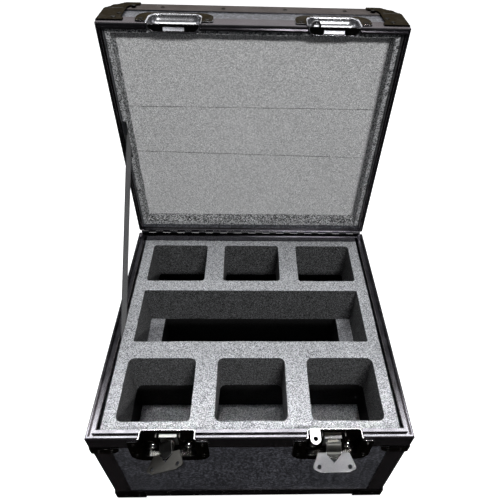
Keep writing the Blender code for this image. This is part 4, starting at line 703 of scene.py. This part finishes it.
def addCornerRivets(form, alongFace, level):  # low heads on the side faces keep the case's width
    skin = rivetPlaces["skin"]
    for sideX, sideY in corners.values():
        front = (sideX * (halfWidth - alongFace), sideY * (halfDepth + skin), level)
        flank = (sideX * (halfWidth + skin), sideY * (halfDepth - alongFace), level)
        addRivet(form, "brace", front, (0, sideY, 0))
        addRivet(form, "flank", flank, (sideX, 0, 0))


def addProfileRivets(form, level, faces):  # rows on both sides, and on front (-1) and back (1) if given
    for share in rivetPlaces["rowShares"]:
        for outward in (-1, 1):
            addRivet(form, "profile", (outward * halfWidth, share * halfDepth, level), (outward, 0, 0))
            if outward in faces:
                addRivet(form, "profile", (share * halfWidth, outward * halfDepth, level), (0, outward, 0))


def besideLatches(reach, front, level):
    return [(hand * latchX + ear * reach, -front, level) for _, hand in sides for ear in (-1, 1)]


def makeBaseRivets():
    want = rivetPlaces
    form = bmesh.new()
    braceLow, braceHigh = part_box("rim_brace_front_left")
    for distance in want["rimBrace"]:
        addCornerRivets(form, distance, (braceLow.z + braceHigh.z) / 2 + want["rimBraceUp"])
    for distance in want["foot"]:
        addCornerRivets(form, distance, want["footLevel"])
    for down in want["latchEars"]:
        for place in besideLatches(want["ear"], dishFace, rimHeight - down):
            addRivet(form, "dish", place, (0, -1, 0))
    for side, hand in sides:
        low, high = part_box(f"handle_dish_{side}")
        face, middle = high.x if hand > 0 else low.x, (low.z + high.z) / 2
        for level in (low.z + want["handleEdge"], high.z - want["handleEdge"]):
            for reach in want["handleRow"]:
                addRivet(form, "handle", (face, reach, level), (hand, 0, 0))
        for level in (-1, 1):
            for reach in (-1, 1):
                place = (face, reach * want["handleEnd"], middle + level * want["handleEndUp"])
                addRivet(form, "handle", place, (hand, 0, 0))
    addProfileRivets(form, want["baseRows"][0], (-1, 1))
    addProfileRivets(form, rimHeight - want["baseRows"][1], (1,))
    finishPiece("base_rivets", form, [gloss], "base")


def makeLidRivets():
    want = rivetPlaces
    form = bmesh.new()
    lidTop = rimHeight + want["lidHeight"]
    for distance, down in want["lidCorner"]:
        addCornerRivets(form, distance, lidTop - down)
    for place in besideLatches(want["ear"], dishFace, rimHeight + want["keeperEar"]):
        addRivet(form, "dish", place, (0, -1, 0))
    addProfileRivets(form, lidTop - want["lidRows"][0], (-1, 1))
    addProfileRivets(form, rimHeight + want["lidRows"][1], ())
    form.transform(lidTurn)
    finishPiece("lid_rivets", form, [gloss], "lid")


makeBaseRivets()
makeLidRivets()
print("rivets made")


# Latch: large pressed rivet heads on the plate, beside the turning spindle
plateRivets = {"reach": 0.0255, "level": 0.0478, "radius": 0.0062, "height": 0.0017, "dishDepth": 0.0139,
               "dishWall": 0.0012, "gap": 0.0003, "plateWall": 0.0015,
               "head": ((0, 0.5), (0.35, 0.45), (0.52, 0.25), (0.62, 0.30), (0.74, 0.95), (0.84, 1),
                        (0.95, 0.7), (1, 0.0), (1, -0.1), (0, -0.1))}


def makeLatchRivets():
    want = plateRivets
    form = bmesh.new()
    profile = [(share * want["radius"], level * want["height"]) for share, level in want["head"]]
    plateFront = dishFace - want["dishDepth"] + want["dishWall"] + want["gap"] + want["plateWall"]
    for place in besideLatches(want["reach"], plateFront, rimHeight - want["level"]):
        addTurned(form, profile, facing(place, (0, -1, 0)), 32)
    finishPiece("latch_plate_rivets", form, [blacks["black nickel"]], "base")


makeLatchRivets()
print("latch rivets made")


# Lid corners: the brace is drawn round the corner's point, so what is square there is cut away under it
cornerShape = {"reach": 0.030, "round": 0.0150, "edgeRound": 0.0021, "wall": 0.0012,
               "steps": (0, 0.0008, 0.0016, 0.0024, 0.004, 0.006, 0.008, 0.010, 0.012, 0.014, 0.016, 0.019,
                         0.022, 0.026, 0.030)}


def lidPoints():  # each outer corner point of the open lid, with the three directions into the case
    found = []
    for name, (sideX, sideY) in corners.items():
        low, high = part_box(f"lid_corner_{name}")
        point = Vector((high.x if sideX > 0 else low.x, high.y, high.z if sideY < 0 else low.z))
        found.append((point, Vector((-sideX, -1, sideY))))
    return found


def roundedPoint(spot):
    want = cornerShape
    share = min(max((max(spot) - want["round"]) / (want["reach"] - want["round"]), 0.0), 1.0)
    share = share * share * (3 - 2 * share)
    radius = want["round"] + (want["edgeRound"] - want["round"]) * share
    inner = Vector([max(value, radius) for value in spot])
    back = inner - Vector(spot)
    return inner - back.normalized() * radius


def makeRoundedCorners():
    want = cornerShape
    form = bmesh.new()
    for point, inward in lidPoints():
        made = {}

        def cornerVertex(spot):
            key = tuple(round(value, 6) for value in spot)
            if key not in made:
                place = roundedPoint(spot)
                made[key] = form.verts.new(point + Vector([a * b for a, b in zip(place, inward)]))
            return made[key]

        for first, second in ((0, 1), (1, 2), (2, 0)):
            for a, b in zip(want["steps"], want["steps"][1:]):
                for c, d in zip(want["steps"], want["steps"][1:]):
                    quad = []
                    for pair in ((a, c), (b, c), (b, d), (a, d)):
                        spot = [0.0, 0.0, 0.0]
                        spot[first], spot[second] = pair
                        quad.append(cornerVertex(spot))
                    form.faces.new(quad)
    bmesh.ops.recalc_face_normals(form, faces=form.faces)
    form.normal_update()
    lidLow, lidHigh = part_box("lid_edge_frame")
    for face in form.faces:  # faces look out of the lid
        if face.normal.dot(face.calc_center_median() - (lidLow + lidHigh) / 2) < 0:
            face.normal_flip()
    finishSheet("lid_corner_points", form, [gloss], want["wall"], -1, "lid", 0.0)


def cutCopy(node, material, rounding, worn=None):
    reach = cornerShape["reach"]
    form = bmesh.new()
    form.from_mesh(nodes[node].data)
    for point, inward in lidPoints():
        for axis in range(3):
            plane = Vector((0, 0, 0))
            plane[axis] = 1
            bmesh.ops.bisect_plane(form, geom=form.verts[:] + form.edges[:] + form.faces[:], dist=1e-6,
                                   plane_co=point + plane * inward[axis] * reach, plane_no=plane)
    doomed = []
    for face in form.faces:
        centre = face.calc_center_median()
        if any(max(abs(a - b) for a, b in zip(centre, point)) < reach for point, _ in lidPoints()):
            doomed.append(face)
    if not doomed:
        form.free()
        finishNode(nodes[node], material, rounding, worn)
        return
    bmesh.ops.delete(form, geom=doomed, context="FACES")
    piece = newPiece(f"cut_{node}", form, [], 35)
    finishNode(piece, material, rounding, worn)
    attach(piece, "lid")
    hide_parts(node)


makeRoundedCorners()
for node in nodes:
    if node.startswith("lid_corner_"):
        cutCopy(node, gloss, 0.0004, edge)
    elif node == "lid_edge_frame":
        cutCopy(node, blacks["black lid edge with painted shade"], 0.0004, edge)
    elif node in lidPanels:
        cutCopy(node, laminate, 0.0003)
print("lid corners made")


# Pressed dishes: one sheet drawn from lobed flange over a round mouth down to the pan, open at the rim
dishShared = {"flange": 0.056, "small": 0.004, "lobe": 0.019, "pan": 0.037, "depth": 0.0127,
              "mouth": 0.0022, "wall": 0.0012, "wallStep": 0.0003}
dishShape = {
    "latch": {**dishShared, "flangeReach": 0.0736, "step": 0.008, "panReach": 0.060, "panRound": 0.0085,
              "floorRound": 0.0035, "start": 0.0},
    "keeper": {**dishShared, "flangeReach": 0.0440, "step": 0.009, "panReach": 0.0375, "panRound": 0.0125,
               "floorRound": 0.0098, "start": 0.0003}}
keeperShape = {"front": 0.0018, "wall": 0.0014, "fit": 0.0002, "seat": 0.0003, "slot": 0.015,
               "slotFront": 0.0060, "slotBack": 0.0112, "tabPlace": -0.027, "tabWidth": 0.0142,
               "tabReach": 0.0070, "tabWall": 0.0020, "tabHole": 0.0034, "tabLap": 0.0001,
               "tabLip": 0.0006, "bevel": 0.0002}


def arc(centre, radius, begin, end, count):
    angles = [math.radians(begin + (end - begin) * step / (count - 1)) for step in range(count)]
    return [(centre[0] + radius * math.cos(angle), centre[1] + radius * math.sin(angle))
            for angle in angles]


def flangePath(want):  # left half, from the rim round to the middle: across, and away from the rim
    small, lobe, step = want["small"], want["lobe"], want["step"]
    mouth, flange, reach = want["pan"] + want["mouth"], want["flange"], want["flangeReach"]
    return ([(-mouth, want["start"])] + arc((-mouth - small, step - small), small, 0, 90, 4)
            + arc((-flange + small, step + small), small, 270, 180, 4)
            + arc((-flange + lobe, reach - lobe), lobe, 180, 90, 9) + [(0.0, reach)])


def panPath(want, offset):  # as many points as the flange's path has
    step, small = want["step"], want["small"]
    half, bend, reach = want["pan"] + offset, want["panRound"] + offset, want["panReach"] + offset
    levels = [want["start"]]
    levels += [step - small + small * math.sin(math.radians(turn)) for turn in (0, 30, 60, 90)]
    levels += [step + want["wallStep"] + small * share / 3 for share in range(4)]
    return ([(-half, level) for level in levels] + arc((-half + bend, reach - bend), bend, 180, 90, 9)
            + [(0.0, reach)])


def addDish(form, want, place, flangeSlot):
    mouth, floor, depth = want["mouth"], want["floorRound"], want["depth"]
    rings = [(flangePath(want), 0.0), (panPath(want, mouth), 0.0)]
    for turn in (22.5, 45, 67.5, 90):
        bend = math.radians(turn)
        rings.append((panPath(want, mouth * (1 - math.sin(bend))), mouth * (1 - math.cos(bend))))
    for turn in (0, 22.5, 45, 67.5, 90):
        bend = math.radians(turn)
        rings.append((panPath(want, -floor * (1 - math.cos(bend))), depth - floor + floor * math.sin(bend)))
    made = []
    for path, level in rings:
        path = path + [(-u, v) for u, v in reversed(path[:-1])]
        made.append([form.verts.new(place(u, v, level)) for u, v in path])
    addRows(form, made[:2], flangeSlot)
    addRows(form, made[1:])
    form.faces.new(made[-1])
    bmesh.ops.remove_doubles(form, verts=form.verts, dist=0.00001)
    return [(path[0][0], level) for path, level in rings[2:]]  # section of the left side


def addPlate(form, loops, wall, place, slot=0):  # flat plate with holes, outlines in the plate's own plane
    edges = []
    before = len(form.faces)
    for loop in loops:
        points = [form.verts.new(place(u, 0.0, depth)) for u, depth in loop]
        edges += [form.edges.new(pair) for pair in zip(points, points[1:] + points[:1])]
    filled = bmesh.ops.triangle_fill(form, use_beauty=True, use_dissolve=True, edges=edges)["geom"]
    faces = [item for item in filled if isinstance(item, bmesh.types.BMFace)]
    grown = bmesh.ops.extrude_face_region(form, geom=faces)["geom"]
    lifted = [item for item in grown if isinstance(item, bmesh.types.BMVert)]
    bmesh.ops.translate(form, verts=lifted, vec=place(0.0, wall, 0.0) - place(0.0, 0.0, 0.0))
    for face in list(form.faces)[before:]:
        face.material_index = slot


def towardFront(form, front):  # the open sheet's faces look out of the case
    bmesh.ops.recalc_face_normals(form, faces=form.faces)
    form.normal_update()
    total = sum((face.normal * face.calc_area() for face in form.faces), Vector())
    if total.dot(front) < 0:
        bmesh.ops.reverse_faces(form, faces=form.faces)


def makeDish(side, kind, place, front, materials, flangeSlot, body):
    want = dishShape[kind]
    form = bmesh.new()
    section = addDish(form, want, place, flangeSlot)
    towardFront(form, Vector(front))
    sheet = finishSheet(f"pressed_{kind}_dish_{side}", form, materials, want["wall"], -1, body)
    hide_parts(f"{kind}_dish_{side}")
    return section


def makeKeeperPlate(side, hand, section):
    want = keeperShape
    front = want["front"]

    def place(u, v, depth):
        return onLid(hand * latchX + u, -dishFace + depth, rimHeight + want["seat"] + v)

    left = [(u + want["fit"], depth) for u, depth in section if depth > front]
    left = [(left[0][0], front)] + left
    outline = left + [(-u, depth) for u, depth in reversed(left)]
    slot = [(-want["slot"], want["slotFront"]), (want["slot"], want["slotFront"]),
            (want["slot"], want["slotBack"]), (-want["slot"], want["slotBack"])]
    form = bmesh.new()
    addPlate(form, [outline, slot], want["wall"], place)
    if hand > 0:
        half, middle, lap = want["tabWidth"] / 2, want["tabPlace"], front - want["tabLap"]
        tip = -(want["tabReach"] - half)
        tab = ([(middle - half, lap), (middle - half, tip)]
               + arc((middle, tip), half, 180, 360, 13)[1:-1]
               + [(middle + half, tip), (middle + half, lap)])
        hole = [(u, min(depth, front - want["tabLip"]))
                for u, depth in arc((middle, 0.0), want["tabHole"], 0, 345, 24)]
        addPlate(form, [tab, hole], want["tabWall"], place, 2)
    piece = finishPiece(f"keeper_plate_{side}", form, [gloss, bare, steels["keeper steel and painted light"]], "lid")
    softenEdges(piece, want["bevel"], 2, 30, 1, False)
    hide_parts(f"keeper_dish_{side}")


def makeDishes(side, hand):
    def besideLatch(u, v, depth):
        return Vector((hand * latchX + u, -dishFace + depth, rimHeight - v))

    def besideKeeper(u, v, depth):
        return onLid(hand * latchX + u, -dishFace + depth, rimHeight + v)

    makeDish(side, "latch", besideLatch, (0, -1, 0), [gloss, bare], 0, "base")
    # the keeper's pan gets lighter steel than its black flange, one pressed sheet, as painted light
    section = makeDish(side, "keeper", besideKeeper, (0, 0, 1), [steels["keeper steel and painted light"], edge, gloss], 2,
                       "lid")
    makeKeeperPlate(side, hand, section)


for side, hand in sides:
    makeDishes(side, hand)
print("pressed dishes made")


# Saddle of each grip: a sheet rolled over the fold pin, with a pointed foot over the grip's notch
saddleShape = {"half": 0.0103, "roll": 0.0062, "rollAngles": (165, 180, 195, 210), "wall": 0.0009,
               "neck": ((-0.0044, -0.0058), (-0.0030, -0.0084), (-0.0019, -0.0104), (-0.0014, -0.0124)),
               "footFace": -0.0013, "foot": 0.0150, "point": 0.0205, "axisDrop": 0.0237,
               "rows": (-1.0, -0.86, -0.5, 0.0, 0.5, 0.86, 1.0),
               "left": {"turn": -30.0, "swing": 92.0}, "right": {"turn": 0.0, "swing": 70.0}}


def makeSaddle(side, hand):
    want = saddleShape
    low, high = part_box(f"latch_fold_pin_{side}")
    axis = Vector((hand * latchX, (low.y + high.y) / 2, rimHeight - want["axisDrop"]))
    gripFrame = (Matrix.Translation(axis) @ Matrix.Rotation(math.radians(want[side]["turn"]), 4, "Y")
                 @ Matrix.Rotation(math.radians(-want[side]["swing"]), 4, "X"))
    section = [(want["roll"] * math.cos(math.radians(angle)), want["roll"] * math.sin(math.radians(angle)))
               for angle in want["rollAngles"]] + list(want["neck"])
    form = bmesh.new()
    rows = []
    for share in want["rows"]:
        foot = -want["foot"] - (want["point"] - want["foot"]) * (1 - abs(share))
        points = section + [(want["footFace"], (foot + want["neck"][-1][1]) / 2), (want["footFace"], foot)]
        rows.append([form.verts.new(gripFrame @ Vector((share * want["half"], y, z))) for y, z in points])
    addRows(form, rows)
    towardFront(form, gripFrame.to_3x3() @ Vector((0, -1, 0)))
    finishSheet(f"grip_saddle_{side}", form, [steels["saddle steel"], steels["claw steel"]],
                want["wall"], 1, f"latch_grip_{side}")


for side, hand in sides:
    makeSaddle(side, hand)
print("grip saddles made")


# Stage: white floor and wide soft lights; what shines in the metal is a dark room with a bright back wall
stageValues = {
    "floorSize": 14.0, "floorColour": (0.90, 0.90, 0.90), "floorGlow": 0.62, "floorRough": 0.9,
    "roomFloor": (0.022, 0.0215, 0.022), "roomFront": (0.12, 0.12, 0.125), "frontToBack": (0.0, 0.5),
    "wallLow": (0.30, 0.28, 0.26), "wallHigh": (2.5, 2.53, 2.66), "wallTop": (0.10, 0.10, 0.11),
    "lowToHigh": (0.26, 0.42), "highToTop": (0.52, 0.68)}
lightValues = {
    "rear_softbox": {"place": (0.0, 0.28, 2.3), "aim": (0, 0.28, 0), "size": (2.2, 0.3),
                     "power": 8.0, "beam": 180},
    "rim_softbox": {"place": (0.0, 0.64, 2.3), "aim": (0, 0.64, 0), "size": (2.4, 0.22),
                    "power": 15.5, "beam": 180},
    "front_softbox": {"place": (0.45, -2.0, 2.15), "aim": (0, 0.1, 0.45), "size": (0.6, 0.25),
                      "power": 45.0, "beam": 180},
    "front_lamp": {"place": (0.02, -0.15, 1.7), "aim": (0.02, -0.212, 0.2), "size": (0.9, 0.06),
                   "power": 0.46, "beam": 13}}


def makeLight(name, want):
    light = bpy.data.lights.new(name, "AREA")
    light.shape = "RECTANGLE"
    light.size, light.size_y = want["size"]
    light.energy = want["power"]
    light.spread = math.radians(want["beam"])
    holder = bpy.data.objects.new(name, light)
    scene.collection.objects.link(holder)
    holder.location = want["place"]
    back = Vector(want["place"]) - Vector(want["aim"])
    holder.rotation_euler = back.to_track_quat("Z", "Y").to_euler()


def makeFloor():
    want = stageValues
    form = bmesh.new()
    bmesh.ops.create_grid(form, x_segments=1, y_segments=1, size=want["floorSize"] / 2)
    floor = bpy.data.objects.new("studio_floor", bpy.data.meshes.new("studio_floor"))
    form.to_mesh(floor.data)
    form.free()
    scene.collection.objects.link(floor)
    floor.location.z = cadBox[0].z
    material, tree, shader = startMaterial("floor paper", Roughness=want["floorRough"],
                                           Specular_IOR_Level=0.0)
    seen = wire(tree, "ShaderNodeLightPath").outputs["Is Camera Ray"]
    shown = blendColour(seen, toRgba(want["roomFloor"]), toRgba(want["floorColour"]))
    tree.links.new(shown, shader.inputs["Base Color"])
    shader.inputs["Emission Color"].default_value = (1, 1, 1, 1)
    tree.links.new(times(seen, want["floorGlow"]), shader.inputs["Emission Strength"])
    floor.data.materials.append(material)


def makeRoom():
    want = stageValues
    world = bpy.data.worlds.new("studio")
    scene.world = world
    world.use_nodes = True
    tree = world.node_tree
    generated = wire(tree, "ShaderNodeTexCoord").outputs["Generated"]
    direction = wire(tree, "ShaderNodeSeparateXYZ", {0: generated}).outputs
    wall = blendColour(spread(direction[2], *want["lowToHigh"]),
                       toRgba(want["wallLow"]), toRgba(want["wallHigh"]))
    wall = blendColour(spread(direction[2], *want["highToTop"]), wall, toRgba(want["wallTop"]))
    room = blendColour(spread(direction[1], *want["frontToBack"]),
                       toRgba(want["roomFront"]), wall)
    seen = wire(tree, "ShaderNodeLightPath").outputs["Is Camera Ray"]
    tree.links.new(blendColour(seen, room, (1, 1, 1, 1)), tree.nodes["Background"].inputs["Color"])


makeFloor()
makeRoom()
for name, want in lightValues.items():
    makeLight(name, want)


# Camera where the photograph was taken from; angles in degrees
cameraValues = {"place": (-0.0052, -0.45155, 0.8656), "down": 42.42, "right": 2.348, "roll": -2.042,
                "lens": 32.24, "shift": (-0.02548, -0.05662)}


def makeCamera():
    want = cameraValues
    pitch, yaw, roll = [math.radians(want[key]) for key in ("down", "right", "roll")]
    forward = Vector((math.sin(yaw) * math.cos(pitch), math.cos(yaw) * math.cos(pitch), -math.sin(pitch)))
    right = Vector((math.cos(yaw), -math.sin(yaw), 0))
    down = forward.cross(right)
    rolledRight = right * math.cos(roll) + down * math.sin(roll)
    rolledDown = down * math.cos(roll) - right * math.sin(roll)
    camera = bpy.data.cameras.new("photo_camera")
    camera.lens = want["lens"]
    camera.sensor_width = 36
    camera.shift_x, camera.shift_y = want["shift"]
    holder = bpy.data.objects.new("photo_camera", camera)
    scene.collection.objects.link(holder)
    turn = Matrix((rolledRight, -rolledDown, -forward)).transposed().to_4x4()
    holder.matrix_world = Matrix.Translation(want["place"]) @ turn
    scene.camera = holder


makeCamera()
scene.view_settings.view_transform = "Standard"
print("stage and camera made")
